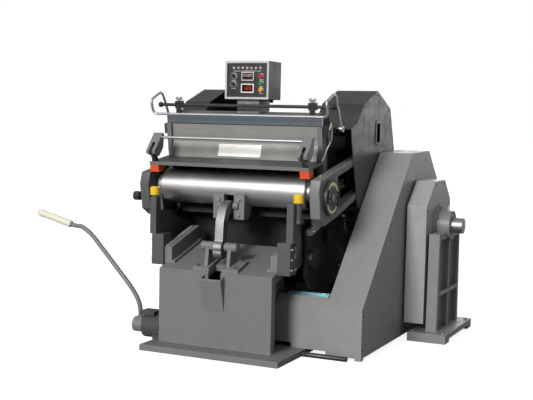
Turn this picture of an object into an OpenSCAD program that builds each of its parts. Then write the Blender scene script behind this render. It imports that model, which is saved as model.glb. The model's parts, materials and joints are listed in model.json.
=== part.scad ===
/* [Base] */
// Half width of the front block
block_half = 375; // [340:5:400]
// Front face of the block, along Y
block_front = -615; // [-640:5:-600]
// Back end of the sloping deck, along Y
block_back = -200; // [-240:5:-160]
// Depth of the wide front plate
front_plate = 57; // [45:1:70]
// Half width of the narrow body behind it
body_half = 270; // [250:2:274]
// Height of the block's front top edge
block_top = 484; // [460:2:500]
// Thickness of the foot plate
foot_t = 37; // [25:1:45]
// How far the foot plate reaches past the block on the left
foot_lap_left = 52; // [30:1:70]
// How far the foot plate reaches past the block on the right
foot_lap_right = 109; // [95:1:120]
// Front edge of the foot plate, along Y
foot_front = -750; // [-790:5:-720]
// Back edge of the base, along Y
base_back = 820; // [780:5:860]
// Wall of the base casting
cast_wall = 28; // [20:1:36]
// Height of the rear part of the base
rear_h = 300; // [260:5:340]
// Where the wide rear part begins, along Y
rear_front = 60; // [55:1:90]

/* [Side frames and bed] */
// How far each side frame's inner face lies inside the platen's side
frame_lap = 32; // [30:1:36]
// Thickness of a side frame
frame_t = 30; // [26:1:30]
// Lean of the bed and of the closed platen, degrees
lean = 9; // [8:0.25:10]
// Rise of the slideways towards the back, degrees
way_rise = 17; // [16:0.25:18]
// Thickness of the bed casting
bed_t = 110; // [90:2:120]
// Height of the bed above the shaft line, along its face
bed_up = 430; // [425:1:440]
// Depth of the bed below the shaft line
bed_down = 230; // [200:5:250]
// Thickness of the chase and its die board
chase_t = 28; // [22:1:30]
// Gap between the chase and each side frame
chase_gap = 26; // [12:1:40]
// Width of the chase's border
chase_border = 38; // [25:1:50]
// Gap between the chase and the closed platen
die_gap = 2; // [1:0.5:4]

/* [Platen] */
// Place of the platen shaft along Y
shaft_y = -325; // [-327:1:-323]
// Height of the platen shaft
shaft_z = 965; // [963:1:967]
// Radius of the platen shaft
shaft_r = 45; // [38:1:48]
// Radius of the rocker drum
drum_r = 103; // [98:1:105]
// Wall of the rocker drum
drum_wall = 13; // [9:1:16]
// Gap between the rocker drum and the platen's side
drum_gap = 18; // [14:1:26]
// Half width of the platen between its flanges
platen_half = 498; // [490:1:500]
// Thickness of the platen's side flanges
flange_t = 30; // [24:1:32]
// Distance from the shaft to the platen's face
face_n = 150; // [148:0.5:152]
// Thickness of the counter plate
counter_t = 3; // [2:0.5:4]
// Thickness of the platen's plate
plate_t = 35; // [28:1:36]
// Height of the platen above the shaft line
plate_up = 430; // [424:1:432]
// Depth of the platen's face below the shaft line
plate_down = 95; // [80:1:98]
// Height of the shelf over the shaft line
shelf_v = 156; // [152:1:160]
// Thickness of the shelf
shelf_t = 15; // [10:1:18]
// Reach of the shelf in front of the shaft
shelf_reach = 133; // [128:1:136]
// How far the shelf stands out past the platen's flange
shelf_lap = 5; // [2:1:6]
// Height of a red rest pad
pad_h = 48; // [40:1:50]
// Depth of a red rest pad
pad_d = 61; // [50:1:64]
// Width of a red rest pad
pad_w = 62; // [50:1:64]
// Travel of the platen shaft as the platen opens
stroke = 30; // [24:1:31]
// Angle through which the platen opens, degrees
open_angle = 27; // [22:0.5:27]

/* [Slideways and rods] */
// Width of a slideway strip
way_w = 34; // [30:1:36]
// Depth of a slideway strip
way_h = 36; // [28:1:40]
// Length of a slideway strip
way_len = 320; // [300:5:330]
// Distance from the shaft down to the slideway
way_drop = 176; // [170:1:182]
// Thickness of a slide saddle
saddle_t = 30; // [26:1:31]
// Gap between the platen's flange and each connecting rod
rod_gap = 9; // [7:1:12]
// Thickness of a connecting rod
rod_t = 63; // [55:1:64]
// Depth of each beam of a connecting rod
beam_h = 42; // [34:1:48]
// Radius of the dial on the right rod
dial_r = 106; // [96:1:110]
// Thickness of the dial
dial_t = 22; // [16:1:26]
// How far the dial's centre lies below the shaft
dial_drop = 26; // [20:1:30]

/* [Gear drive] */
// Gear module
gear_mod = 7; // [6.5:0.25:7.25]
// Teeth of the bull gear
gear_teeth = 96; // [92:2:98]
// Teeth of the pinion
pinion_teeth = 30; // [28:2:32]
// Width of the bull gear
gear_w = 70; // [50:2:80]
// Place of the flywheel shaft along Y
fly_y = 675; // [670:1:680]
// Height of the flywheel shaft
fly_z = 722; // [718:1:726]
// Radius of the flywheel
fly_r = 400; // [380:2:405]
// Width of the flywheel's rim
fly_w = 120; // [100:2:130]
// Radius of the flywheel shaft
fly_shaft_r = 45; // [40:1:48]
// Radius of the main shaft
main_r = 55; // [48:1:60]
// Radius of the motor pulley
pulley_r = 80; // [70:1:90]
// Radius of the motor body
motor_r = 105; // [95:1:110]
// Length of the motor body
motor_len = 270; // [220:5:280]
// Place of the motor's axis along Y
motor_y = -200; // [-206:1:-190]
// Height of the motor's axis
motor_z = 245; // [238:1:252]
// Number of V-belts
belt_count = 4; // [2:1:4]
// Width of a V-belt
belt_w = 16; // [12:1:18]
// Depth of a V-belt
belt_t = 11; // [9:1:13]

/* [Covers] */
// Sheet thickness of the covers
sheet = 4; // [3:0.5:5]
// How far the right gear cover reaches in past the side frame
cover_lap = 142; // [136:1:148]
// Gap between the right connecting rod and its gear cover's outer side
cover_gap = 6; // [5:1:9]
// Gap between the left connecting rod and its gear cover's outer side
left_cover_gap = 76; // [70:1:84]
// Gap between the right gear cover and the belt guard
guard_gap = 6; // [5:1:9]
// Width of the tall belt guard
guard_w = 222; // [214:1:226]
// Gap between the base's body and the low belt guard box
guard_low_gap = 13; // [8:1:18]
// Front face of the belt guard, along Y
guard_front = -358; // [-366:1:-350]
// Height of the low guard's front edge
guard_edge = 301; // [294:1:306]
// Gap between the belt guard and the flywheel cover
wheel_cover_gap = 13; // [8:1:18]
// Width of the flywheel cover
wheel_cover_w = 129; // [122:1:136]
// Radius of the outboard bearing barrel
barrel_r = 95; // [88:1:98]
// Length of the bearing barrel, from the flywheel cover
barrel_len = 99; // [92:1:106]
// How far the flywheel shaft stands out of the barrel
shaft_stub = 71; // [63:1:81]

/* [Control box] */
// Half width of the control box
box_half = 149; // [140:1:156]
// Depth of the control box
box_d = 180; // [160:2:200]
// Bottom of the control box
box_bottom = 1508; // [1500:1:1516]
// Height of the control box
box_h = 233; // [220:1:240]
// Front face of the control box, along Y
box_front = -235; // [-237:1:-230]
// Width of the box's pale rim
box_rim = 18; // [14:1:20]
// Half width of the post under the box
post_half = 77; // [70:1:84]

/* [Lever and bail] */
// Place of the clutch lever's pivot along Y
lever_y = -545; // [-555:1:-535]
// Height of the clutch lever's pivot
lever_z = 112; // [110:1:116]
// Radius of the lever tube
lever_r = 14; // [12:0.5:16]
// Radius of the lever's grip
grip_r = 23; // [20:0.5:26]
// Distance of the hand bail from the platen's flange
bail_side = 60; // [54:1:66]
// Radius of the hand bail's rod
bail_r = 8; // [6:0.5:9]
// Radius of the black gauge rod
gauge_r = 10; // [8:0.5:11]
// Radius of the chrome front bar
front_bar_r = 9; // [7:0.5:11]

/* [Buffers and leg] */
// How far a guide rail stands out past the base's block
rail_lap = 5; // [3:0.5:8]
// How far a buffer cap's centre lies inside the shelf's end
cap_inset = 53; // [49:1:57]
// Place of the buffer caps along Y
cap_y = -500; // [-503:1:-498]
// Radius of a buffer cap
cap_r = 30; // [26:1:31]
// Height of a buffer cap
cap_h = 53; // [44:1:56]
// Place of the leg's pivot along Y
leg_y = -545; // [-548:1:-542]
// Height of the leg's pivot
leg_z = 632; // [629:1:635]
// Half width of the leg
leg_half = 28; // [24:1:30]
// Radius of the pin that the leg's jaw holds
jaw_pin_r = 12; // [9:0.5:13]
// Radius of the leg's pivot pin
leg_pin_r = 15; // [12:1:18]
// Half width of the leg bracket
bracket_half = 104; // [90:1:110]

/* [Hidden] */
$fn = 64;
grey = "#7b7d7f";
dark = "#3f4443";
steel = "#b9bcc0";
chrome = "#dfe2e6";
black = "#1c1c1e";
fit = 0.05;
air = 0.3;
run = 1;
far = 2000;
foot_left = block_half + foot_lap_left;
foot_right = block_half + foot_lap_right;
frame_in = platen_half - frame_lap;
frame_out = frame_in + frame_t;
chase_half = frame_in - chase_gap;
drum_half = platen_half - drum_gap;
flange_out = platen_half + flange_t;
shelf_half = flange_out + shelf_lap;
rod_in = flange_out + rod_gap;
rod_out = rod_in + rod_t;
cover_in = frame_in - cover_lap;
cover_out = rod_out + cover_gap;
left_cover_out = rod_out + left_cover_gap;
guard_in = cover_out + guard_gap;
guard_out = guard_in + guard_w;
guard_low = body_half + guard_low_gap;
wheel_cover_in = guard_out + wheel_cover_gap;
wheel_cover_out = wheel_cover_in + wheel_cover_w;
barrel_end = wheel_cover_out + barrel_len;
shaft_end = barrel_end + shaft_stub;
bail_half = flange_out + bail_side;
cap_x = shelf_half - cap_inset;
post_in = block_half + rail_lap;
post_out = cap_x - 19;
gear_dist = gear_mod * (gear_teeth + pinion_teeth) / 2;
gear_angle = 118;
main_y = fly_y + gear_dist * cos(gear_angle);
main_z = fly_z + gear_dist * sin(gear_angle);
throw = stroke / 2;
crank_pin_r = 24;
crank_disc_t = 30;
crank_in = frame_out + 7;
crank_face = crank_in + crank_disc_t;
pin_y = main_y + throw * cos(way_rise);
pin_z = main_z + throw * sin(way_rise);
cast_n = face_n - counter_t - plate_t;
plate_back = face_n - counter_t;
chase_n = face_n + die_gap;
bed_n = chase_n + chase_t;
bed_back = bed_n + bed_t;
pad_v = shelf_v - pad_h;
open_tilt = lean + open_angle;
pad_open_z = shaft_z - stroke * sin(way_rise) + pad_v * cos(open_tilt) - shelf_reach * sin(open_tilt);
cap_top = pad_open_z - 0.6;
cap_low = cap_top - cap_h;
lever_x = -foot_left - 73 - air;
grip_rise = 14;
grip_dir = [-cos(grip_rise), 0, sin(grip_rise)];
grip_start = [lever_x - 536, lever_y, lever_z + 577];
jaw_y = -440;
jaw_z = 868;
bail_n = 252;
bail_v = 340;
arm_pivot_n = -138;
arm_pivot_v = 250;
arm_out = shelf_half;
arm_in = arm_out - 62;
link_in = arm_in + 21;
link_out = link_in + 20;
gauge_n = 141;
gauge_v = 486;
clamp_x = platen_half - 44;
gauge_half = flange_out + 62;
clamp_half = 24;
panel_y = box_front + 6;
panel_t = 4;
stem_depth = 20;
button_z = [142, 100, 58];
selector_z = [142, 92];
gear_x0 = frame_in - 106;
button_x = 96;
selector_x = -92;
fly_x0 = guard_in + 38;
groove = belt_t + air;
frame_low = 380;
frame_front = -389;
boss_r = 58;
boss_t = 30;
wall_y = -60;
back_top = 790;
window_front = 160;
wall_t = 40;
blend_in = 0.2;
belt_pitch = (fly_w - 16) / belt_count;
motor_x0 = guard_low + 25;
motor_x1 = motor_x0 + motor_len;
motor_shaft_r = 19;
cover_path = [[-12, 1341], [106, 1384], [207, 1496], [463, 1586], [727, 1476], [830, 1205], [900, 1000],
    [872, 800], [240, 800], [180, 830], [136, 866], [18, 1225]];
guard_slope_y = 522;
guard_slope_z = 1187;
guard_low_path = [[guard_front, 15], [guard_front, guard_edge], [guard_slope_y, guard_slope_z],
    [901, guard_slope_z + 10], [1124, 995], [1124, 15]];
wheel_cover_path = [[400, 104], [400, 856], [586, 1011], [813, 1010], [956, 877], [956, 104]];

function top_z(y) = block_top + (y - block_front) * tan(way_rise);
function pf(n, v) = [shaft_y + n * cos(lean) - v * sin(lean), shaft_z + v * cos(lean) + n * sin(lean)];
function wf(y, z) = [shaft_y + y * cos(way_rise) - z * sin(way_rise),
    shaft_z + y * sin(way_rise) + z * cos(way_rise)];
function under_bed(y) = pf(bed_n, -bed_down)[1] + (y - pf(bed_n, -bed_down)[0]) * tan(lean);
function unit(v) = v / norm(v);
function bend(a, c, b, s) = (1 - s) * (1 - s) * a + 2 * s * (1 - s) * c + s * s * b;
function cut_len(p, i, r) = min(r, norm(p[i + 1] - p[i]) / 2.1, norm(p[i] - p[i - 1]) / 2.1);
function rounded(p, r) = concat([p[0]], [for (i = [1 : len(p) - 2]) let (d = cut_len(p, i, r),
    a = p[i] + unit(p[i - 1] - p[i]) * d, b = p[i] + unit(p[i + 1] - p[i]) * d)
    for (k = [0 : 6]) bend(a, p[i], b, k / 6)], [p[len(p) - 1]]);
function heading(p, i) = i == 0 ? unit(p[1] - p[0]) : i == len(p) - 1 ? unit(p[i] - p[i - 1]) :
    unit(unit(p[i] - p[i - 1]) + unit(p[i + 1] - p[i]));
function flat(u, t) = unit(u - (u * t) * t);
function sides(p, u0) = [for (i = 0, u = flat(u0, heading(p, 0)); i < len(p);
    i = i + 1, u = i < len(p) ? flat(u, heading(p, i)) : u) u];

module slab(x0, x1) {
    translate([x0, 0, 0]) rotate([90, 0, 90]) linear_extrude(x1 - x0) children();
}

module rod_x(x0, x1, y, z, r) {
    translate([x0, y, z]) rotate([0, 90, 0]) cylinder(h = x1 - x0, r = r);
}

module box(x0, x1, y0, y1, z0, z1) {
    translate([x0, y0, z0]) cube([x1 - x0, y1 - y0, z1 - z0]);
}

module pair() {
    children();
    mirror([1, 0, 0]) children();
}

module leaned() {
    translate([0, shaft_y, shaft_z]) rotate([lean, 0, 0]) children();
}

module on_ways() {
    translate([0, shaft_y, shaft_z]) rotate([way_rise, 0, 0]) children();
}

// round tube along a list of points
module tube(p, r, u0, k = 16) {
    u = sides(p, u0);
    pts = [for (i = [0 : len(p) - 1]) let (w = cross(heading(p, i), u[i]))
        for (j = [0 : k - 1]) p[i] + r * (cos(360 * j / k) * u[i] + sin(360 * j / k) * w)];
    walls = [for (i = [0 : len(p) - 2]) for (j = [0 : k - 1]) let (n = (j + 1) % k)
        for (f = [[i * k + j, (i + 1) * k + j, (i + 1) * k + n], [i * k + j, (i + 1) * k + n, i * k + n]]) f];
    first = [[for (j = [0 : k - 1]) j]];
    last = [[for (j = [k - 1 : -1 : 0]) (len(p) - 1) * k + j]];
    polyhedron(points = pts, faces = concat(first, walls, last));
}

module foot_bolt(x, y, z) {
    translate([x, y, z]) cylinder(h = 9, r = 11, $fn = 6);
}

module base_casting() color(grey) {
    difference() {
        union() {
            box(-foot_left, foot_right, foot_front, rear_front, 0, foot_t);
            box(-frame_out, frame_out, rear_front - run, base_back, 0, foot_t);
            slab(-block_half, block_half) polygon([[block_front, foot_t - run],
                [block_front, block_top], [block_front + front_plate, top_z(block_front + front_plate)],
                [block_front + front_plate, foot_t - run]]);
            slab(-block_half, block_half) polygon([[block_front, block_top - 60], [block_front, block_top],
                [block_back, top_z(block_back)], [block_back, top_z(block_back) - 60]]);
            slab(-body_half, body_half) polygon([[block_front, foot_t - run], [block_front, block_top],
                [block_back, top_z(block_back)], [block_back, rear_h], [rear_front + run, rear_h],
                [rear_front + run, foot_t - run]]);
            box(-frame_in, frame_in, rear_front, base_back, foot_t - run, rear_h);
            box(-frame_in, frame_in, base_back - cast_wall, base_back, rear_h - run, back_top);
            box(-body_half, body_half, wall_y, wall_y + wall_t, rear_h - run, frame_low + run);
            slab(-frame_in, frame_in) polygon([[wall_y, frame_low], [wall_y, under_bed(wall_y)],
                [wall_y + wall_t, under_bed(wall_y + wall_t)], [wall_y + wall_t, frame_low]]);
        }
        slab(-body_half + cast_wall, body_half - cast_wall) polygon([
            [block_front + cast_wall, foot_t], [block_front + cast_wall, block_top - cast_wall],
            [block_back - cast_wall, top_z(block_back - cast_wall) - cast_wall * 1.4],
            [block_back - cast_wall, foot_t]]);
        box(-body_half + cast_wall, body_half - cast_wall, block_back - cast_wall - run,
            rear_front + cast_wall + run, foot_t, rear_h - cast_wall);
        box(-frame_in + cast_wall, frame_in - cast_wall, rear_front + cast_wall, base_back - cast_wall,
            foot_t, rear_h + run);
        box(-40, 40, block_front - run, block_front + 100, 300, far);
    }
}

module scrap_scoop() color(grey) {
    scoop_half = 68;
    t = 5;
    difference() {
        slab(-scoop_half, scoop_half) polygon([[block_front, block_top - 14],
            [block_front - 47, block_top - 34], [block_front - 47, block_top - 50], [block_front, 254]]);
        slab(-scoop_half + t, scoop_half - t) polygon([[block_front + run, block_top + 60],
            [block_front - 47 + t, block_top + 60], [block_front - 47 + t, block_top - 48],
            [block_front - t, 275], [block_front + run, 275]]);
    }
}

module guide_rails() color(grey) {
    rail_in = post_in - 50;
    front = block_front + 71;
    back = block_back - 5;
    rise = 98;
    pitch = 22;
    count = floor((back - front - 20) / pitch);
    pair() {
        slab(rail_in, post_in) polygon([[front, top_z(front)], [front, top_z(front) + rise],
            [back, top_z(back) + rise], [back, top_z(back)]]);
        slab(post_in - 22, post_in) polygon(concat([[front, top_z(front) + rise - run]],
            [for (i = [0 : count - 1]) let (y = front + 10 + i * pitch)
                for (q = [[0, 0], [5, 9], [11, 9], [16, 0]]) [y + q[0], top_z(y + q[0]) + rise + q[1]]],
            [[back, top_z(back) + rise - run]]));
        slab(rail_in - 22, rail_in + run) polygon([[front, top_z(front)], [front, top_z(front) + 16],
            [back, top_z(back) + 16], [back, top_z(back)]]);
    }
}

module frame_profile() {
    polygon([[rear_front, foot_t], [rear_front, frame_low], [-300, frame_low], [frame_front, 470],
        [frame_front, 661], wf(-150, -way_drop), wf(168, -way_drop), pf(bed_n, -130), pf(bed_n, bed_up - 20),
        pf(bed_back, bed_up - 20), [-40, 1300], [330, 1290], [560, 1225], [650, 1060], [790, 830],
        [base_back - 20, 400], [base_back - 20, foot_t]]);
}

module side_frames() color(dark) {
    pair() difference() {
        slab(frame_in, frame_out) frame_profile();
        rod_x(frame_in - run, frame_out + run, main_y, main_z, main_r + fit);
        rod_x(frame_in - run, frame_out + run, fly_y, fly_z, fly_shaft_r + fit);
        slab(frame_in - run, frame_out + run) polygon([[window_front, 620], [window_front, 860],
            [330, 930], [470, 700], [470, 480], [300, 440]]);
        slab(frame_in - run, frame_out + run) polygon([[0, 1000], [0, 1200], [200, 1210], [320, 1100],
            [250, 960]]);
    }
    pair() {
        rod_x(frame_out - run, frame_out + boss_t, frame_front + boss_r + 5, 572, boss_r);
        box(frame_out - run, frame_out + boss_t, -149, -22, 641, 733);
    }
}

module slideways() color(steel) {
    pair() on_ways() box(frame_out, frame_out + way_w, -150, way_len - 150, -way_drop - way_h, -way_drop);
}

module bed_casting() color(grey) {
    leaned() difference() {
        box(-frame_in, frame_in, bed_n, bed_back, -bed_down, bed_up);
        for (x = [-300, 0, 300]) for (v = [[-bed_down + 40, 60], [100, bed_up - 40]]) {
            box(x - 125, x + 125, bed_n + 32, bed_back + run, v[0], v[1]);
        }
    }
}

module chase() color(steel) {
    leaned() difference() {
        box(-chase_half, chase_half, chase_n, bed_n, -85, bed_up - 8);
        box(-chase_half + chase_border, chase_half - chase_border, chase_n - run, bed_n + run,
            -85 + chase_border, bed_up - 8 - chase_border);
    }
}

module die_board() color("#b98b55") {
    half = chase_half - chase_border - 2;
    low = -85 + chase_border + 2;
    high = bed_up - 10 - chase_border;
    leaned() {
        box(-half, half, bed_n - 18, bed_n, low, high);
        box(-170, 170, chase_n + 2, bed_n - 18, low + 60, low + 63);
        box(-170, 170, chase_n + 2, bed_n - 18, high - 80, high - 77);
        box(-173, -170, chase_n + 2, bed_n - 18, low + 60, high - 77);
        box(170, 173, chase_n + 2, bed_n - 18, low + 60, high - 77);
    }
}

module buffer_posts() color(grey) {
    arm_in_x = cap_x - 46;
    arm_out_x = cap_x - 4;
    pair() {
        box(post_in, post_out, -561, -466, 495, 682);
        box(arm_in_x, arm_out_x, -561, -510, 681, cap_low - 8);
        slab(post_out - 16, post_out) polygon([[-540, 497], [-366, 543], [-304, 588], [-186, 621],
            [wall_y - 8, 715], [-276, 765], [-357, 808], [-484, 823], [-500, 600]]);
        slab(arm_out_x - 16, arm_out_x) polygon([[-511, 590], [-511, 800], [-478, 800], [-440, 720],
            [-466, 600]]);
        box(arm_in_x, cap_x + 24, -530, -474, 795, 815);
        translate([cap_x, cap_y, 814]) cylinder(h = cap_low - 814, r = 21);
    }
}

module buffer_caps() color("#e8b91c") {
    pair() translate([cap_x, cap_y, cap_low]) rotate_extrude() polygon([[0, 0], [cap_r, 0],
        [cap_r, cap_h - 8], [cap_r - 8, cap_h], [0, cap_h]]);
}

module leg_pedestals() color(grey) {
    hub_r = 27;
    pair() {
        difference() {
            union() {
                rod_x(leg_half + 10, leg_half + 89, leg_y, leg_z, hub_r);
                slab(leg_half + 34, leg_half + 56) polygon([[leg_y - hub_r + 3, leg_z - 8],
                    [leg_y + hub_r - 3, leg_z - 8], [leg_y + 60, top_z(leg_y + 60) + 10],
                    [leg_y - 40, top_z(leg_y - 40) + 10]]);
                slab(42, 150) polygon([[leg_y - 60, top_z(leg_y - 60)], [leg_y - 60, top_z(leg_y - 60) + 22],
                    [leg_y + 75, top_z(leg_y + 75) + 22], [leg_y + 75, top_z(leg_y + 75)]]);
            }
            rod_x(leg_half, leg_half + 100, leg_y, leg_z, leg_pin_r);
        }
    }
    rod_x(-leg_half - 93, leg_half + 93, leg_y, leg_z, leg_pin_r);
}

module swing_leg() color(steel) {
    hub = [leg_y, leg_z];
    jaw = [jaw_y, jaw_z];
    along = unit(jaw - hub);
    across = [-along[1], along[0]];
    w = jaw_pin_r + 3;
    lip = w - blend_in;
    x = leg_half;
    difference() {
        union() {
            rod_x(-x, x, leg_y, leg_z - 6, 46);
            rod_x(-x, x, leg_y - 4, leg_z - 34, 40);
            rod_x(-x, x, jaw_y, jaw_z, w + 13);
            slab(-x, x) polygon([hub + [-42, -6], hub + [-20, 44], hub + [-13, 148], jaw + [-86, -8],
                jaw + [-50, 24], jaw + [-22, 32], jaw + [9, w + 9], jaw + [7, -3], jaw + [-20, -18],
                jaw + [-48, -56], hub + [33, 110], hub + [34, 40], hub + [41, -6]]);
        }
        rod_x(-x - run, x + run, leg_y, leg_z, leg_pin_r + fit);
        rod_x(-x - run, x + run, jaw_y, jaw_z, w);
        slab(-x - run, x + run) polygon([jaw + across * lip, jaw + across * lip - along * 70,
            jaw - across * (w + 40) - along * 70, jaw - across * lip - along * 12, jaw - across * lip]);
    }
}

module control_post() color(grey) {
    top = box_bottom;
    a = pf(bed_n, bed_up);
    b = pf(bed_back, bed_up);
    slab(-post_half, post_half) polygon([[a[0] + 6, a[1] + 6 * tan(lean) + fit], [a[0] + 6, top],
        [b[0] + 48, top], [b[0] + 48, b[1] + fit], [b[0], b[1] + fit]]);
}

module control_box() color("#aeb2b5") {
    t = 3;
    z1 = box_bottom + box_h;
    difference() {
        box(-box_half, box_half, box_front, box_front + box_d, box_bottom, z1);
        box(-box_half + t, box_half - t, panel_y, box_front + box_d - t, box_bottom + t, z1 - t);
        box(-box_half + box_rim, box_half - box_rim, box_front - run, panel_y + run,
            box_bottom + box_rim, z1 - box_rim);
    }
}

module control_panel() color(black) {
    difference() {
        box(-box_half + 3, box_half - 3, panel_y, panel_y + panel_t, box_bottom + 3, box_bottom + box_h - 3);
        for (z = button_z) {
            translate([button_x, panel_y - run, box_bottom + z]) rotate([-90, 0, 0])
                cylinder(h = panel_t + 2, r = 7 + fit);
        }
        for (z = selector_z) {
            translate([selector_x, panel_y - run, box_bottom + z]) rotate([-90, 0, 0])
                cylinder(h = panel_t + 2, r = 5 + fit);
        }
    }
}

module panel_instruments() color("#8d9396") {
    for (i = [-3 : 3]) {
        translate([i * 30, panel_y, box_bottom + 190]) rotate([90, 0, 0]) cylinder(h = 4, r = 6);
    }
    box(-34, 44, panel_y - 4, panel_y, box_bottom + 116, box_bottom + 164);
    box(-38, 46, panel_y - 3, panel_y, box_bottom + 42, box_bottom + 92);
}

module push_button(z, shade) color(shade) {
    translate([button_x, panel_y, box_bottom + z]) rotate([-90, 0, 0]) {
        translate([0, 0, -13]) cylinder(h = 8.6, r = 13);
        translate([0, 0, -6]) cylinder(h = stem_depth, r = 7);
    }
}

module selector(z) color(black) {
    translate([selector_x, panel_y, box_bottom + z]) rotate([-90, 0, 0]) {
        translate([0, 0, -9]) cylinder(h = 8.7, r = 14);
        translate([-3.5, -13, -18]) cube([7, 26, 10]);
        translate([0, 0, -1]) cylinder(h = stem_depth - 4, r = 5);
    }
}

module stop_button() push_button(button_z[0], "#c8201c");

module start_button() push_button(button_z[1], "#1f8f3a");

module inch_button() push_button(button_z[2], "#e0c01a");

module selector_upper() selector(selector_z[0]);

module selector_lower() selector(selector_z[1]);

module hood(x0, x1, path, open_left, open_right) {
    difference() {
        slab(x0, x1) polygon(path);
        slab(x0 + (open_left ? -run : sheet), x1 - (open_right ? -run : sheet))
            offset(delta = -sheet) polygon(path);
    }
}

module cover_shape(x0, x1, open_left) {
    cut = open_left ? window_front - 10 : window_front + air;
    difference() {
        hood(x0, x1, cover_path, open_left, false);
        slab(x0 - run, x1 - sheet) polygon([[-60, 1337], [6, 1337], [window_front - 11, 870], [cut, 870],
            [cut, 700], [-60, 700]]);
        box(x0 + (open_left ? -run : sheet), x1 - sheet, 170, 862, 780, 812);
    }
}

module gear_cover_right() color(grey) {
    difference() {
        cover_shape(cover_in, cover_out, false);
        slab(cover_out - sheet - run, cover_out + run) polygon([[455, 1250], [520, 1250], [520, 1380],
            [455, 1380]]);
        rod_x(cover_in - run, cover_in + sheet + run, main_y, main_z, main_r + 8);
    }
}

module gear_cover_left() color(grey) {
    mirror([1, 0, 0]) cover_shape(frame_out, left_cover_out, true);
}

module belt_guard() color(grey) {
    gap_low = 66;
    strip_y = guard_front + 47;
    strip_z = guard_edge + 47;
    difference() {
        hood(guard_in, guard_out, guard_low_path, false, false);
        box(guard_in + sheet, guard_out - sheet, guard_front + sheet, 1120, 0, 15 + sheet + run);
        rod_x(guard_in - run, guard_out + run, fly_y, fly_z, fly_shaft_r + 8);
        rod_x(guard_in - run, guard_in + sheet + run, motor_y, motor_z, motor_shaft_r + 8);
    }
    for (y = [guard_front, 1124 - 40]) {
        for (x = [guard_in, guard_out - 40]) {
            box(x, x + 40, y, y + 40, 0, 16);
        }
    }
    difference() {
        slab(guard_low, guard_in + run) polygon([[guard_front, foot_t], [guard_front, guard_edge],
            [strip_y, strip_z], [strip_y + sheet, strip_z], [strip_y + sheet, strip_z - sheet],
            [guard_front + sheet, guard_edge - sheet], [guard_front + sheet, foot_t]]);
        box(guard_low - run, guard_low + 105, guard_front - run, guard_front + sheet + run, 0, gap_low);
    }
    slab(guard_low, guard_low + sheet) polygon([[guard_front + run, gap_low],
        [guard_front + run, guard_edge - 1], [strip_y + run, strip_z - 1], [rear_front - 12, strip_z - 1], [rear_front - 12, gap_low]]);
}

module flywheel_cover() color(grey) {
    difference() {
        union() {
            hood(wheel_cover_in, wheel_cover_out, wheel_cover_path, false, false);
            rod_x(guard_out, wheel_cover_in + run, fly_y, fly_z, 90);
            box(guard_out, wheel_cover_in + run, 600, 800, 150, 250);
        }
        rod_x(guard_out - run, wheel_cover_out + run, fly_y, fly_z, fly_shaft_r + 8);
        box(wheel_cover_in + sheet, wheel_cover_out - sheet, 404, 952, 100, 104 + sheet + run);
    }
}

module outboard_pedestal() color(grey) {
    x0 = wheel_cover_out + 14;
    x1 = x0 + 70;
    top = fly_z - 40;
    difference() {
        union() {
            slab(x0, x1) polygon([[fly_y - 265, 58], [fly_y - 250, top], [fly_y - 225, top],
                [fly_y - 225, 58]]);
            slab(x0, x1) polygon([[fly_y + 260, 58], [fly_y + 245, top], [fly_y + 220, top],
                [fly_y + 220, 58]]);
            slab(x0 + 5, x0 + 35) polygon([[fly_y - 260, 57], [fly_y - 248, top], [fly_y + 243, top],
                [fly_y + 255, 57]]);
            box(x0, x1, fly_y - 250, fly_y + 245, top - 40, top);
            box(x0, x1, fly_y - 14, fly_y + 14, 57, top);
            box(x0, x1, fly_y - 255, fly_y + 250, 280, 304);
            box(x0 - 100, x1 + 80, fly_y - 335, fly_y + 325, 0, 58);
        }
        rod_x(x0 - run, x1 + run, fly_y, fly_z, barrel_r + air);
        rod_x(x0 - run, x0 + 9, fly_y, fly_z, barrel_r + 28);
        box(x0 - 101, x1 + 81, fly_y - 235, fly_y + 225, -run, 22);
    }
}

module bearing_housing() color(grey) {
    difference() {
        union() {
            rod_x(wheel_cover_out, wheel_cover_out + 13, fly_y, fly_z, barrel_r + 33);
            rod_x(wheel_cover_out + 12, barrel_end, fly_y, fly_z, barrel_r);
        }
        rod_x(wheel_cover_out - run, barrel_end + run, fly_y, fly_z, fly_shaft_r + fit);
    }
    for (a = [30 : 60 : 330]) {
        rod_x(wheel_cover_out + 12, wheel_cover_out + 21, fly_y + (barrel_r + 18) * cos(a),
            fly_z + (barrel_r + 18) * sin(a), 8);
    }
}

module motor() color("#8fb2c6") {
    difference() {
        union() {
            rod_x(motor_x0 + 24, motor_x1 - 30, motor_y, motor_z, motor_r - 8);
            rod_x(motor_x0, motor_x0 + 25, motor_y, motor_z, motor_r);
            rod_x(motor_x1 - 31, motor_x1, motor_y, motor_z, motor_r);
            for (a = [10 : 20 : 350]) {
                translate([motor_x0 + 24, motor_y, motor_z]) rotate([a, 0, 0])
                    translate([0, 0, motor_r - 12]) cube([motor_len - 54, 3, 11]);
            }
            box(motor_x0 + 40, foot_right - 10, motor_y - 80, motor_y + 80, foot_t, motor_z - motor_r + 30);
        }
        rod_x(motor_x1 - 80, motor_x1 + run, motor_y, motor_z, motor_shaft_r + fit);
    }
}

module motor_pulley() color(steel) {
    difference() {
        union() {
            rod_x(fly_x0 + 2, fly_x0 + fly_w - 2, motor_y, motor_z, pulley_r);
            rod_x(motor_x1 - 78, fly_x0 + fly_w + 6, motor_y, motor_z, motor_shaft_r);
        }
        belt_grooves(motor_y, motor_z, pulley_r);
    }
}

module belt_grooves(y, z, r) {
    for (i = [0 : belt_count - 1]) {
        x = fly_x0 + 8 + (i + 0.5) * belt_pitch;
        difference() {
            rod_x(x - belt_w / 2 - air, x + belt_w / 2 + air, y, z, r + 5);
            rod_x(x - belt_w, x + belt_w, y, z, r - groove);
        }
    }
}

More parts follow.
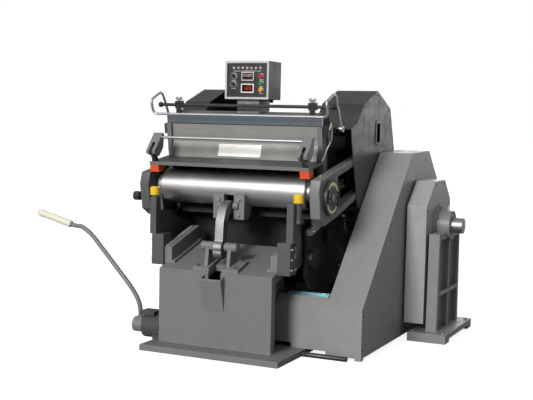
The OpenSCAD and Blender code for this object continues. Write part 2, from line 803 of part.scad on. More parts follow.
module belt_shape(x0, x1, grow) {
    big = fly_r - belt_t + grow;
    small = pulley_r - belt_t + grow;
    to = [motor_y - fly_y, motor_z - fly_z];
    a = atan2(to[1], to[0]);
    b = acos((big - small) / norm(to));
    n1 = [cos(a + b), sin(a + b)];
    n2 = [cos(a - b), sin(a - b)];
    rod_x(x0, x1, fly_y, fly_z, big);
    rod_x(x0, x1, motor_y, motor_z, small);
    run_big = big - blend_in;
    run_small = small - blend_in;
    slab(x0, x1) polygon([[fly_y, fly_z] + run_big * n1, [motor_y, motor_z] + run_small * n1,
        [motor_y, motor_z] + run_small * n2, [fly_y, fly_z] + run_big * n2]);
}

module drive_belts() color(black) {
    for (i = [0 : belt_count - 1]) {
        x = fly_x0 + 8 + (i + 0.5) * belt_pitch;
        difference() {
            belt_shape(x - belt_w / 2, x + belt_w / 2, belt_t);
            belt_shape(x - belt_w, x + belt_w, 0);
        }
    }
}

module flywheel() color(steel) {
    difference() {
        union() {
            difference() {
                rod_x(fly_x0, fly_x0 + fly_w, fly_y, fly_z, fly_r);
                rod_x(fly_x0 - run, fly_x0 + fly_w + run, fly_y, fly_z, fly_r - 60);
            }
            rod_x(fly_x0 + fly_w / 2 - 14, fly_x0 + fly_w / 2 + 14, fly_y, fly_z, fly_r - 59);
            rod_x(fly_x0, fly_x0 + fly_w, fly_y, fly_z, fly_shaft_r + 40);
        }
        rod_x(fly_x0 - run, fly_x0 + fly_w + run, fly_y, fly_z, fly_shaft_r + fit);
        for (a = [0 : 60 : 300]) {
            rod_x(fly_x0, fly_x0 + fly_w, fly_y + 215 * cos(a), fly_z + 215 * sin(a), 62);
        }
        belt_grooves(fly_y, fly_z, fly_r);
    }
}

module gear_teeth_ring(count, r_root, r_tip, turn) {
    step = 360 / count;
    for (i = [0 : count - 1]) {
        rotate(turn + i * step) polygon([[r_root - run, -gear_mod * 0.86],
            [r_root + gear_mod * 0.3, -gear_mod * 0.82], [r_tip, -gear_mod * 0.36], [r_tip, gear_mod * 0.36], [r_root + gear_mod * 0.3, gear_mod * 0.82],
            [r_root - run, gear_mod * 0.86]]);
    }
}

module bull_gear() color(steel) {
    pitch_r = gear_mod * gear_teeth / 2;
    root = pitch_r - gear_mod * 1.3;
    translate([gear_x0, main_y, main_z]) rotate([90, 0, 90]) difference() {
        union() {
            linear_extrude(gear_w) difference() {
                union() {
                    circle(r = root, $fn = 96);
                    gear_teeth_ring(gear_teeth, root, pitch_r + gear_mod * 0.9, gear_angle + 180);
                }
                circle(r = root - 34);
            }
            translate([0, 0, gear_w / 2 - 12]) cylinder(h = 24, r = root - 33);
            cylinder(h = gear_w, r = main_r + 42);
        }
        translate([0, 0, -run]) cylinder(h = gear_w + 2, r = main_r + fit);
        for (a = [0 : 60 : 300]) {
            rotate(a) translate([195, 0, -run]) cylinder(h = gear_w + 2, r = 60);
        }
    }
}

module pinion_shaft() color(steel) {
    pitch_r = gear_mod * pinion_teeth / 2;
    root = pitch_r - gear_mod * 1.3;
    rod_x(-frame_out - 6, shaft_end - 70, fly_y, fly_z, fly_shaft_r);
    rod_x(barrel_end + run, shaft_end, fly_y, fly_z, fly_shaft_r + 5);
    rod_x(-frame_in + run, -frame_in + 20, fly_y, fly_z, fly_shaft_r + 20);
    rod_x(wheel_cover_in + sheet + 16, wheel_cover_out - sheet - 14, fly_y, fly_z, 230);
    translate([gear_x0 - 4, fly_y, fly_z]) rotate([90, 0, 90]) linear_extrude(gear_w + 8) union() {
        circle(r = root, $fn = 96);
        gear_teeth_ring(pinion_teeth, root, pitch_r + gear_mod * 0.9, gear_angle + 180 / pinion_teeth);
    }
}

module main_shaft() color(steel) {
    rod_x(-crank_in, crank_in, main_y, main_z, main_r);
    pair() {
        rod_x(crank_in, crank_face, main_y, main_z, main_r + 34);
        rod_x(crank_face - run, rod_out - 2, pin_y, pin_z, crank_pin_r);
    }
    for (x = [frame_in - 20, -frame_in + run]) {
        rod_x(x, x + 19, main_y, main_z, main_r + 22);
    }
}

module lever_bracket() color(dark) {
    difference() {
        union() {
            rod_x(-foot_left - 73, -block_half - run, lever_y, lever_z, 73);
            box(-foot_left, -block_half - run, lever_y - 55, lever_y + 55, foot_t, lever_z);
            box(-foot_left - 95, -foot_left + 7, lever_y - 50, lever_y + 50, lever_z + 70, lever_z + 92);
        }
        rod_x(-foot_left - 100, -foot_left + 20, lever_y, lever_z, 20 + fit);
    }
}

module clutch_lever() color(grey) {
    rod_x(lever_x - 80, lever_x, lever_y, lever_z - 2, 46);
    rod_x(lever_x - run, -foot_left + 15, lever_y, lever_z, 20);
    translate([lever_x - 42, lever_y, lever_z + 30]) cylinder(h = 22, r = lever_r + 8);
    tube(rounded([[lever_x - 42, lever_y, lever_z + 20], [lever_x - 50, lever_y, lever_z + 132],
        [lever_x - 112, lever_y, lever_z + 220], [lever_x - 414, lever_y, lever_z + 533],
        [lever_x - 488, lever_y, lever_z + 577], grip_start, grip_start + 70 * grip_dir], 60),
        lever_r, [0, 1, 0], 20);
}

module lever_grip() color("#b9bdb6") {
    translate(grip_start + 32 * grip_dir) rotate([0, grip_rise - 90, 0]) difference() {
        rotate_extrude() polygon([[0, 0], [grip_r - 4, 0], [grip_r, 6], [grip_r - 2, 200],
            [grip_r + 1, 240], [grip_r - 8, 268], [0, 272]]);
        translate([0, 0, -run]) cylinder(h = 42, r = lever_r + air);
    }
}

module frame_bolts() color(steel) {
    pair() {
        for (q = [[-540, 525], [-490, 525], [-540, 585], [-540, 645]]) {
            rod_x(post_out, post_out + 9, q[0], q[1], 10);
        }
        for (y = [leg_y - 40, leg_y + 55]) {
            translate([125, y, top_z(y) + 22]) rotate([way_rise, 0, 0]) cylinder(h = 8, r = 9);
        }
        for (y = [-120, 10, 130]) {
            on_ways() rod_x(frame_out + way_w, frame_out + way_w + 7, y - 10, -way_drop - way_h / 2, 8);
        }
    }
    for (z = [573, 480]) {
        rod_x(frame_out, frame_out + 7, rear_front + 60, z, 9);
    }
    for (y = [fly_y - 290, fly_y + 280]) {
        for (x = [wheel_cover_out - 60, wheel_cover_out + 134]) {
            foot_bolt(x, y, 58);
        }
    }
    for (z = [box_bottom - 60, box_bottom - 25]) {
        translate([0, pf(bed_n, bed_up)[0] + 6, z]) rotate([90, 0, 0]) cylinder(h = 5, r = 6);
    }
}

module platen_shaft() color(chrome) {
    rod_x(-rod_in - 30, rod_in + 30, shaft_y, shaft_z, shaft_r);
    pair() rod_x(drum_half + run, platen_half - run, shaft_y, shaft_z, shaft_r + 22);
}

module slide_saddles() color(dark) {
    x0 = frame_out + 4;
    pair() on_ways() difference() {
        slab(x0, x0 + saddle_t) {
            circle(r = shaft_r + 24);
            polygon([[-shaft_r - 24, 0], [shaft_r + 24, 0], [88, -way_drop + 0.1], [-88, -way_drop + 0.1]]);
        }
        rod_x(x0 - run, x0 + saddle_t + run, 0, 0, shaft_r + fit);
    }
}

module connecting_rod(side) {
    eye = [pin_y - shaft_y, pin_z - shaft_z];
    eye_r = 120;
    translate([0, shaft_y, shaft_z]) difference() {
        union() {
            slab(rod_in, rod_out) polygon([[-162, 10], [-141, 83], [-116, 87], [130, 136],
                eye + [12, eye_r - 6], eye + [12, 6 - eye_r], [150, -144], [25, -170], [-59, -187],
                [-133, -143]]);
            rod_x(rod_in, rod_out, eye[0], eye[1], eye_r);
        }
        slab(rod_in - run, rod_out + run) polygon([[130, 136 - beam_h], [660, 242 - beam_h],
            [660, -9 + beam_h], [150, -144 + beam_h]]);
        translate([0, eye[0], eye[1]]) rotate([way_rise, 0, 0]) box(rod_in - run, rod_out + run,
            -crank_pin_r - 6, crank_pin_r + 6, -crank_pin_r - throw - 4, crank_pin_r + throw + 4);
        rod_x(rod_in - run, rod_in + 31, 0, 0, shaft_r + fit);
        if (side > 0) {
            rod_x(rod_in + 32, rod_out + run, 0, -dial_drop, 14 + fit);
        } else {
            rod_x(rod_in + 32, rod_out + run, 0, -80, 12 + fit);
        }
    }
}

module connecting_rod_right() color(grey) connecting_rod(1);

module connecting_rod_left() color(grey) mirror([1, 0, 0]) connecting_rod(-1);

module impression_dial() color(black) {
    x0 = rod_out + air;
    rod_x(rod_out - 26, x0 + run, shaft_y, shaft_z - dial_drop, 14);
    difference() {
        rod_x(x0, x0 + dial_t, shaft_y, shaft_z - dial_drop, dial_r);
        difference() {
            rod_x(x0 + dial_t - 4, x0 + dial_t + run, shaft_y, shaft_z - dial_drop, dial_r - 12);
            rod_x(x0, x0 + dial_t + run, shaft_y, shaft_z - dial_drop, dial_r - 34);
        }
        for (a = [0 : 90 : 270]) {
            rod_x(x0 + dial_t - 8, x0 + dial_t + run, shaft_y + 48 * cos(a),
                shaft_z - dial_drop + 48 * sin(a), 6);
        }
    }
}

module impression_knob() color(black) {
    rod_x(-rod_out - 95, -rod_out + 26, shaft_y, shaft_z - 80, 12);
    rod_x(-rod_out - 135, -rod_out - 94, shaft_y, shaft_z - 80, 28);
}

module platen_casting() color(grey) {
    leaned() difference() {
        union() {
            box(-platen_half, platen_half, cast_n, plate_back, -plate_down, plate_up);
            pair() box(platen_half - run, flange_out, 90, face_n, 20, 375);
            slab(-440, 440) polygon([[cast_n, -plate_down + run], [plate_back, -plate_down + run],
                [95, -180], [62, -180]]);
            for (x = [-430, -290, -150, 130, 270, 410]) {
                slab(x, x + 20) polygon([[20, 120], [cast_n + run, shelf_v - 2], [cast_n + run, -plate_down],
                    [70, -150], [20, -120]]);
            }
        }
        rod_x(-drum_half - run, drum_half + run, 0, 0, drum_r + air);
    }
}

module rocker_drum() color(chrome) {
    difference() {
        rod_x(-drum_half, drum_half, shaft_y, shaft_z, drum_r);
        for (x = [[-drum_half + 20, -230], [-210, 210], [230, drum_half - 20]]) {
            rod_x(x[0], x[1], shaft_y, shaft_z, drum_r - drum_wall);
        }
        rod_x(-drum_half - run, drum_half + run, shaft_y, shaft_z, shaft_r + fit);
        translate([0, shaft_y, shaft_z]) slab(-leg_half - 6, leg_half + 6)
            polygon([[0, 0], 140 * [cos(199), sin(199)], 140 * [cos(219), sin(219)],
                140 * [cos(240), sin(240)]]);
    }
}

module counter_plate() color(steel) {
    leaned() box(-platen_half + 20, platen_half - 20, plate_back, face_n, -55, plate_up - 5);
}

module top_strip() color("#9aa9bf") {
    leaned() box(-flange_out + 1, flange_out - 1, cast_n - 11, cast_n, plate_up - 51, plate_up - 6);
}

module back_panel() color("#9a9c9e") {
    a = cast_n;
    low = shelf_v + shelf_t;
    leaned() slab(-platen_half + 1, platen_half - 1) polygon([[a, plate_up - 58], [a - 3, plate_up - 58],
        [a - 3, 289], [a - 6, 262], [a - 48, low], [a - 42, low], [a - 1, 262], [a, 289]]);
}

module delivery_shelf() color(steel) {
    leaned() {
        box(-platen_half + run, platen_half - run, -shelf_reach, cast_n, shelf_v, shelf_v + shelf_t);
        pair() box(platen_half - 2 * run, shelf_half, -shelf_reach, 88, shelf_v, shelf_v + shelf_t);
    }
}

module rest_pads() color("#d0452c") {
    leaned() pair() box(shelf_half - pad_w, shelf_half, -shelf_reach, -shelf_reach + pad_d, pad_v, shelf_v);
}

module leg_bracket() color(grey) {
    gap = leg_half + 6;
    difference() {
        union() {
            pair() slab(gap, bracket_half) polygon([[shaft_y - 120, shaft_z - 29], [shaft_y - 120, shaft_z - 177],
                [shaft_y - 60, shaft_z - 177], [shaft_y - 10, shaft_z - 102], [shaft_y - 60, shaft_z - 29]]);
            pair() rod_x(gap, gap + 34, jaw_y, jaw_z, 24);
            rod_x(-gap - 20, gap + 20, jaw_y, jaw_z, jaw_pin_r);
        }
        rod_x(-far, far, shaft_y, shaft_z, drum_r + air);
    }
}

module gauge_rod() color(black) {
    leaned() {
        rod_x(-gauge_half, gauge_half, gauge_n, gauge_v, gauge_r);
        pair() translate([gauge_half, gauge_n, gauge_v]) sphere(r = gauge_r + 7);
    }
}

module platen_brackets() color(black) {
    leaned() {
        pair() {
            difference() {
                union() {
                    box(clamp_x - clamp_half, clamp_x + clamp_half, gauge_n - 17, gauge_n + 17,
                        gauge_v - 19, gauge_v + 24);
                    box(clamp_x - 13, clamp_x + 13, cast_n + 4, plate_back - 2, plate_up, gauge_v - 18);
                }
                rod_x(clamp_x - 40, clamp_x + 40, gauge_n, gauge_v, gauge_r + fit);
                translate([clamp_x, gauge_n, gauge_v]) cylinder(h = 60, r = 5 + fit);
            }
            slab(flange_out, flange_out + 22) polygon([[100, 310], [148, 310], [bail_n - 6, bail_v - 18],
                [bail_n + 16, bail_v - 8], [bail_n + 16, bail_v + 12], [bail_n - 4, bail_v + 18],
                [150, 372], [100, 372]]);
            rod_x(flange_out + 20, bail_half + 14, bail_n, bail_v, 8);
            slab(link_in, link_out) polygon([[-shelf_reach, shelf_v + shelf_t],
                [-shelf_reach - 22, arm_pivot_v - 14], [-shelf_reach - 18, arm_pivot_v + 12],
                [-shelf_reach + 8, arm_pivot_v + 14], [-shelf_reach + 44, shelf_v + shelf_t]]);
            rod_x(link_in - 14, link_out + 14, arm_pivot_n, arm_pivot_v, 8);
        }
    }
}

module safety_cable() color("#d8d3c4") {
    leaned() {
        path = [[flange_out + 26.2, 140, 350], [flange_out + 31, 150, 374], [flange_out + 30, 166, 388],
            [flange_out + 28, 176, 350], [flange_out + 28, 170, 284], [flange_out + 6, 140, 236],
            [flange_out + 4.5, 110, 200], [flange_out + 3, 70, shelf_v + shelf_t + 8],
            [flange_out + 3, 66, shelf_v + shelf_t + 3.1]];
        tube(rounded(path, 24), 4, [0, 1, 0.2], 12);
    }
}

module wing_screw() color(chrome) {
    leaned() translate([clamp_x, gauge_n, gauge_v + gauge_r + 2]) {
        cylinder(h = 20, r = 5);
        translate([0, 0, gauge_r + 4]) cylinder(h = 16, r = 9);
        pair() translate([6, -3, gauge_r + 8]) cube([16, 6, 20]);
    }
}

module wing_screw_right() wing_screw();

module wing_screw_left() mirror([1, 0, 0]) wing_screw();

module hand_bail() color(chrome) {
    leaned() {
        h = bail_half;
        n0 = bail_n;
        v0 = bail_v;
        end = [[h, n0 - 10, v0 + 14], [h, n0 - 18, v0 + 40], [h, n0 - 49, v0 + 128],
            [h, n0 - 92, v0 + 228], [h, n0 - 230, v0 + 192], [h, n0 - 209, v0 + 102]];
        other = [for (i = [len(end) - 1 : -1 : 0]) [-end[i][0], end[i][1], end[i][2]]];
        tube(rounded(concat(end, other), 34), bail_r, [0.2, 1, 0.1], 14);
        pair() difference() {
            rod_x(h - 11, h + 11, n0, v0, 17);
            rod_x(h - 12, h + 12, n0, v0, 8 + fit);
        }
    }
}

module front_bar() color(chrome) {
    leaned() rod_x(-arm_in, arm_in, -67, 314, front_bar_r);
}

module bar_arms() color(grey) {
    leaned() pair() difference() {
        slab(arm_in, arm_out) polygon([[-58, 340], [-167, 244], [-165, 230], [-114, 205], [-62, 248],
            [-39, 330]]);
        slab(link_in - air, link_out + air) polygon([[-200, 190], [-200, 290], [-90, 290], [-50, 190]]);
        rod_x(arm_in - run, arm_out + run, arm_pivot_n, arm_pivot_v, 8 + fit);
    }
}

base_casting();
scrap_scoop();
guide_rails();
side_frames();
slideways();
bed_casting();
chase();
die_board();
buffer_posts();
buffer_caps();
leg_pedestals();
control_post();
control_box();
control_panel();
panel_instruments();
gear_cover_left();
gear_cover_right();
belt_guard();
flywheel_cover();
outboard_pedestal();
bearing_housing();
motor();
drive_belts();
lever_bracket();
frame_bolts();
platen_shaft();
slide_saddles();
connecting_rod_left();
connecting_rod_right();
impression_dial();
impression_knob();
platen_casting();
rocker_drum();
counter_plate();
top_strip();
back_panel();
delivery_shelf();
rest_pads();
leg_bracket();
gauge_rod();
platen_brackets();
safety_cable();
wing_screw_left();
wing_screw_right();
hand_bail();
front_bar();
bar_arms();
swing_leg();
main_shaft();
bull_gear();
pinion_shaft();
flywheel();
motor_pulley();
clutch_lever();
lever_grip();
stop_button();
start_button();
inch_button();
selector_upper();
selector_lower();
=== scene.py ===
"""Dresses the platen die cutting machine: finishes, rounded castings, screws, plates and instruments."""

import json
import math

import bmesh
import bpy
from mathutils import Matrix, Vector


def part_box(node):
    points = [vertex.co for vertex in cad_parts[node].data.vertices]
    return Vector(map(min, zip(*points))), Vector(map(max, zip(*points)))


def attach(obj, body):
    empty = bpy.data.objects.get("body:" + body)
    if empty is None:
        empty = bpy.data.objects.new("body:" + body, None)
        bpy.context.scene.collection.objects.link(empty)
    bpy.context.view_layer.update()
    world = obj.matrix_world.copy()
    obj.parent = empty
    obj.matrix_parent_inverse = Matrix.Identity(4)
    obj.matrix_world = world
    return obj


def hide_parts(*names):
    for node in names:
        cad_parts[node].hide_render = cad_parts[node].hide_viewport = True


bl_info = {
    "name": "Platen Die Cutter Dressing",
    "version": (1, 0, 0),
    "blender": (4, 5, 0),
    "location": "View3D > Sidebar > Die Cutter",
    "description": "Finishes and small fittings for a platen die cutting machine",
    "category": "Object",
}

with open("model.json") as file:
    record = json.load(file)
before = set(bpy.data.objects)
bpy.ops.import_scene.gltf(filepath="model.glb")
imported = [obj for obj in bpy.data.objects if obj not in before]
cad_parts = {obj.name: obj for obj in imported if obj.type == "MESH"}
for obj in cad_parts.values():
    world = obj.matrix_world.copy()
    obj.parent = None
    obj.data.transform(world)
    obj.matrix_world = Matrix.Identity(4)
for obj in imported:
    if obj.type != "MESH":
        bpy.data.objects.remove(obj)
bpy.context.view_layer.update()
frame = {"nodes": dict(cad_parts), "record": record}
MM = 0.001
SHAFT = (0, -0.325, 0.965)  # middle of the platen shaft, in metres
LEAN = 9  # degrees that the closed platen leans back
WAY_SLOPE = 17  # degrees that the ways climb to the rear
RIGHT, LEFT, FORWARD, UPWARD = (1, 0, 0), (-1, 0, 0), (0, -1, 0), (0, 0, 1)
PAINTED_SHADE_BLACK = (0.008, 0.008, 0.0085)
PAINTED_REFLECTION = (0.05, 0.045, 0.035)
RUBBED = (0.33, 0.33, 0.32)
PAINTED_TOP_SHADE = (0.004, 0.004, 0.004)
BODY_OF = {node: body for body, nodes in frame["record"]["behaviour"]["bodies"].items() for node in nodes}


# ---------------------------------------------------------------- finishes

class Finish:
    """A procedural material built node by node around one Principled shader."""

    def __init__(self, name, colour, roughness, metallic=0.0, **sockets):
        self.mat = bpy.data.materials.new(name)
        self.mat.use_nodes = True
        self.tree = self.mat.node_tree
        self.shader = self.tree.nodes["Principled BSDF"]
        self.set("Base Color", (*colour, 1.0))
        self.set("Roughness", roughness)
        self.set("Metallic", metallic)
        for socket, value in sockets.items():
            self.set(socket.replace("_", " "), value)
        self.place = self.add("ShaderNodeTexCoord").outputs["Object"]

    def set(self, socket, value):
        """Sets a socket of the shader."""
        self.shader.inputs[socket].default_value = value

    def add(self, kind, **values):
        """Adds a node and sets its values, by attribute or by socket name."""
        node = self.tree.nodes.new(kind)
        for key, value in values.items():
            if hasattr(node, key):
                setattr(node, key, value)
            else:
                node.inputs[key].default_value = value
        return node

    def join(self, source, target):
        """Links one socket to another."""
        self.tree.links.new(source, target)

    def noise(self, scale, detail=3.0, stretch=None, roughness=0.55, turn=None):
        """Noise in object space, scale in features per metre, stretched and turned where asked."""
        node = self.add("ShaderNodeTexNoise")
        node.inputs["Scale"].default_value = scale
        node.inputs["Detail"].default_value = detail
        node.inputs["Roughness"].default_value = roughness
        place = self.place
        if stretch or turn:
            bend = self.add("ShaderNodeMapping")
            if stretch:
                bend.inputs["Scale"].default_value = stretch
            if turn:
                bend.inputs["Rotation"].default_value = turn
            self.join(place, bend.inputs["Vector"])
            place = bend.outputs["Vector"]
        self.join(place, node.inputs["Vector"])
        return node.outputs["Fac"]

    def spread(self, source, low, high, to_low, to_high):
        """Maps a value from one range to another, held at both ends."""
        node = self.add("ShaderNodeMapRange")
        for key, value in (("From Min", low), ("From Max", high), ("To Min", to_low), ("To Max", to_high)):
            node.inputs[key].default_value = value
        self.join(source, node.inputs["Value"])
        return node.outputs["Result"]

    def times(self, a, b, operation="MULTIPLY"):
        """Two values multiplied, or put through another math operation."""
        node = self.add("ShaderNodeMath")
        node.operation = operation
        for value, socket in ((a, node.inputs[0]), (b, node.inputs[1])):
            if isinstance(value, (int, float)):
                socket.default_value = value
            else:
                self.join(value, socket)
        return node.outputs[0]

    def blend(self, share, first, second):
        """Mixes two colours by a share."""
        node = self.add("ShaderNodeMix")
        node.data_type = "RGBA"
        for value, socket in ((share, node.inputs[0]), (first, node.inputs[6]), (second, node.inputs[7])):
            if isinstance(value, tuple):
                socket.default_value = (*value, 1.0)
            elif isinstance(value, (int, float)):
                socket.default_value = value
            else:
                self.join(value, socket)
        return node.outputs[2]

    def relief(self, height, strength, depth):
        """Bumps the surface by a height pattern, depth in metres."""
        node = self.add("ShaderNodeBump")
        node.inputs["Strength"].default_value = strength
        node.inputs["Distance"].default_value = depth
        self.join(height, node.inputs["Height"])
        self.join(node.outputs["Normal"], self.shader.inputs["Normal"])

    def edges(self, width):
        """How sharply the surface turns within width, from 0 on a flat to 1 on an edge."""
        bevel = self.add("ShaderNodeBevel")
        bevel.samples = 4
        bevel.inputs["Radius"].default_value = width
        flat = self.add("ShaderNodeNewGeometry")
        dot = self.add("ShaderNodeVectorMath")
        dot.operation = "DOT_PRODUCT"
        self.join(bevel.outputs["Normal"], dot.inputs[0])
        self.join(flat.outputs["Normal"], dot.inputs[1])
        return self.spread(dot.outputs["Value"], 0.995, 0.86, 0.0, 1.0)

    def inside(self, low, high, fade=0.04):
        """One within a box of object space and nought outside it, fading over its skin."""
        middle = [(a + b) / 2 for a, b in zip(low, high)]
        half = [(b - a) / 2 for a, b in zip(low, high)]
        shift = self.add("ShaderNodeVectorMath")
        shift.operation = "SUBTRACT"
        shift.inputs[1].default_value = middle
        far = self.add("ShaderNodeVectorMath")
        far.operation = "ABSOLUTE"
        over = self.add("ShaderNodeVectorMath")
        over.operation = "SUBTRACT"
        over.inputs[1].default_value = half
        split = self.add("ShaderNodeSeparateXYZ")
        for a, b in ((self.place, shift), (shift.outputs[0], far), (far.outputs[0], over),
                     (over.outputs[0], split)):
            self.join(a, b.inputs[0])
        x, y, z = split.outputs[:3]
        most = self.times(self.times(x, y, "MAXIMUM"), z, "MAXIMUM")
        return self.spread(most, -fade, 0.0, 1.0, 0.0)


def painted(name, colour, relief=0.25, grain=420.0, roughness=0.45, wear=0.5, dust=0.12, dark=0.75,
            shade_box=None, top_shade=0.0):
    """Machine enamel: slightly uneven colour, orange peel, rubbed edges and a film of oil and dust.

    A shade box, in metres, is painted black inside, as shade that falls under and between the parts,
    and a top shade share darkens the faces that look up, as painted shade."""
    f = Finish(name, colour, roughness)
    cloud = f.noise(2.6, 5.0)
    patch = f.noise(17.0, 4.0)
    tone = f.blend(f.spread(cloud, 0.3, 0.7, 0.0, dust * 2), colour, tuple(c * dark for c in colour))
    dusty = tuple(min(1, c * 1.35 + 0.02) for c in colour)
    tone = f.blend(f.spread(patch, 0.42, 0.75, 0.0, dust), tone, dusty)
    rub = f.times(f.edges(2.2 * MM), f.spread(f.noise(60.0, 5.0, roughness=0.7), 0.48, 0.62, 0.0, wear))
    tone = f.blend(rub, tone, RUBBED)
    # Painted shade: the faces that look up are darkened.
    if top_shade:
        facing = f.add("ShaderNodeSeparateXYZ")
        f.join(f.add("ShaderNodeNewGeometry").outputs["Normal"], facing.inputs[0])
        tone = f.blend(f.spread(facing.outputs["Z"], 0.55, 0.95, 0.0, top_shade), tone, PAINTED_TOP_SHADE)
    if shade_box:
        # A finish with a painted shade box is also made duller all over.
        f.set("Specular IOR Level", 0.15)
        # Painted shade: black inside the box, a little uneven by the cloud.
        painted_shade_share = f.times(f.inside(*shade_box), f.spread(cloud, 0.2, 0.7, 1.0, 0.88))
        tone = f.blend(painted_shade_share, tone, PAINTED_SHADE_BLACK)
    f.join(tone, f.shader.inputs["Base Color"])
    f.join(f.spread(patch, 0.3, 0.7, roughness - 0.08, roughness + 0.1), f.shader.inputs["Roughness"])
    f.relief(f.noise(grain, 3.0), relief, 0.6 * MM)
    return f.mat


def turned(name, colour, roughness, lines, stretch, mark=0.06, stain=0.1, dark=0.6, bare=1.0, reflection_fade=None):
    """Machined metal whose tool marks run one way; stretch sets that way, bare how metallic it looks.

    A reflection fade gives the two heights, in metres, between which a painted dark reflection fades out
    upwards, and its share at the foot."""
    f = Finish(name, colour, roughness, bare)
    line = f.noise(lines, 2.0, stretch)
    cloud = f.noise(5.0, 5.0)
    tone = f.blend(f.spread(cloud, 0.4, 0.75, 0.0, stain * 2), colour, tuple(c * dark for c in colour))
    if reflection_fade:
        low, high, depth = reflection_fade
        height = f.add("ShaderNodeSeparateXYZ")
        f.join(f.place, height.inputs[0])
        # Painted reflection: darker and browner towards the foot, for the dark parts the panel reflects.
        tone = f.blend(f.spread(height.outputs["Z"], low, high, depth, 0.0), tone, PAINTED_REFLECTION)
    f.join(tone, f.shader.inputs["Base Color"])
    rough = f.times(f.spread(line, 0.3, 0.7, roughness - mark, roughness + mark),
                    f.spread(cloud, 0.3, 0.7, -0.04, 0.06), "ADD")
    f.join(rough, f.shader.inputs["Roughness"])
    f.relief(line, 0.08, 0.2 * MM)
    return f.mat


def moulded(name, colour, roughness=0.4, grain=900.0, relief=0.15, tint=0.1):
    """Plastic or rubber with a fine grain and a little handling shine."""
    f = Finish(name, colour, roughness)
    cloud = f.noise(14.0, 4.0)
    tone = f.blend(f.spread(cloud, 0.35, 0.7, 0.0, tint * 2), colour, tuple(c * 0.7 for c in colour))
    f.join(tone, f.shader.inputs["Base Color"])
    f.join(f.spread(cloud, 0.3, 0.7, roughness - 0.07, roughness + 0.09), f.shader.inputs["Roughness"])
    f.relief(f.noise(grain, 2.0), relief, 0.3 * MM)
    return f.mat


def die_board():
    """Birch plywood with its grain along the board."""
    f = Finish("Birch board", (0.48, 0.31, 0.16), 0.6)
    grain = f.noise(9.0, 6.0, (0.6, 14.0, 14.0))
    tone = f.blend(f.spread(grain, 0.35, 0.7, 0.0, 1.0), (0.56, 0.38, 0.21), (0.34, 0.2, 0.1))
    f.join(tone, f.shader.inputs["Base Color"])
    f.relief(grain, 0.2, 0.3 * MM)
    return f.mat


# Coats of enamel, rough on castings and smooth on folded sheet.
CAST = {"relief": 0.5, "grain": 260.0, "roughness": 0.46}
FOLDED = {"relief": 0.16, "grain": 620.0, "roughness": 0.4, "wear": 0.35}
FOLDED_DARK = {**FOLDED, "roughness": 0.42}
# Boxes of the frame's space, in metres, in which each casting is painted black, as shade under and between
# the parts.
UNDER_THE_BED = ((-0.6, -0.185, 0.33), (0.6, 0.7, 0.9))
ROUND_THE_DRUM = ((-0.49, -0.6, 0.7), (0.49, 0.3, 1.12))
ROUND_THE_BED = ((-0.7, -0.6, 0.6), (0.7, 0.3, 1.3))
BETWEEN_FRAMES = ((-0.7, -0.7, 0.3), (0.7, 0.3, 1.25))
PANEL_REFLECTION = (1.16, 1.3, 0.5)  # two heights in metres, and the share of painted dark reflection at the foot
FINISHES = {}


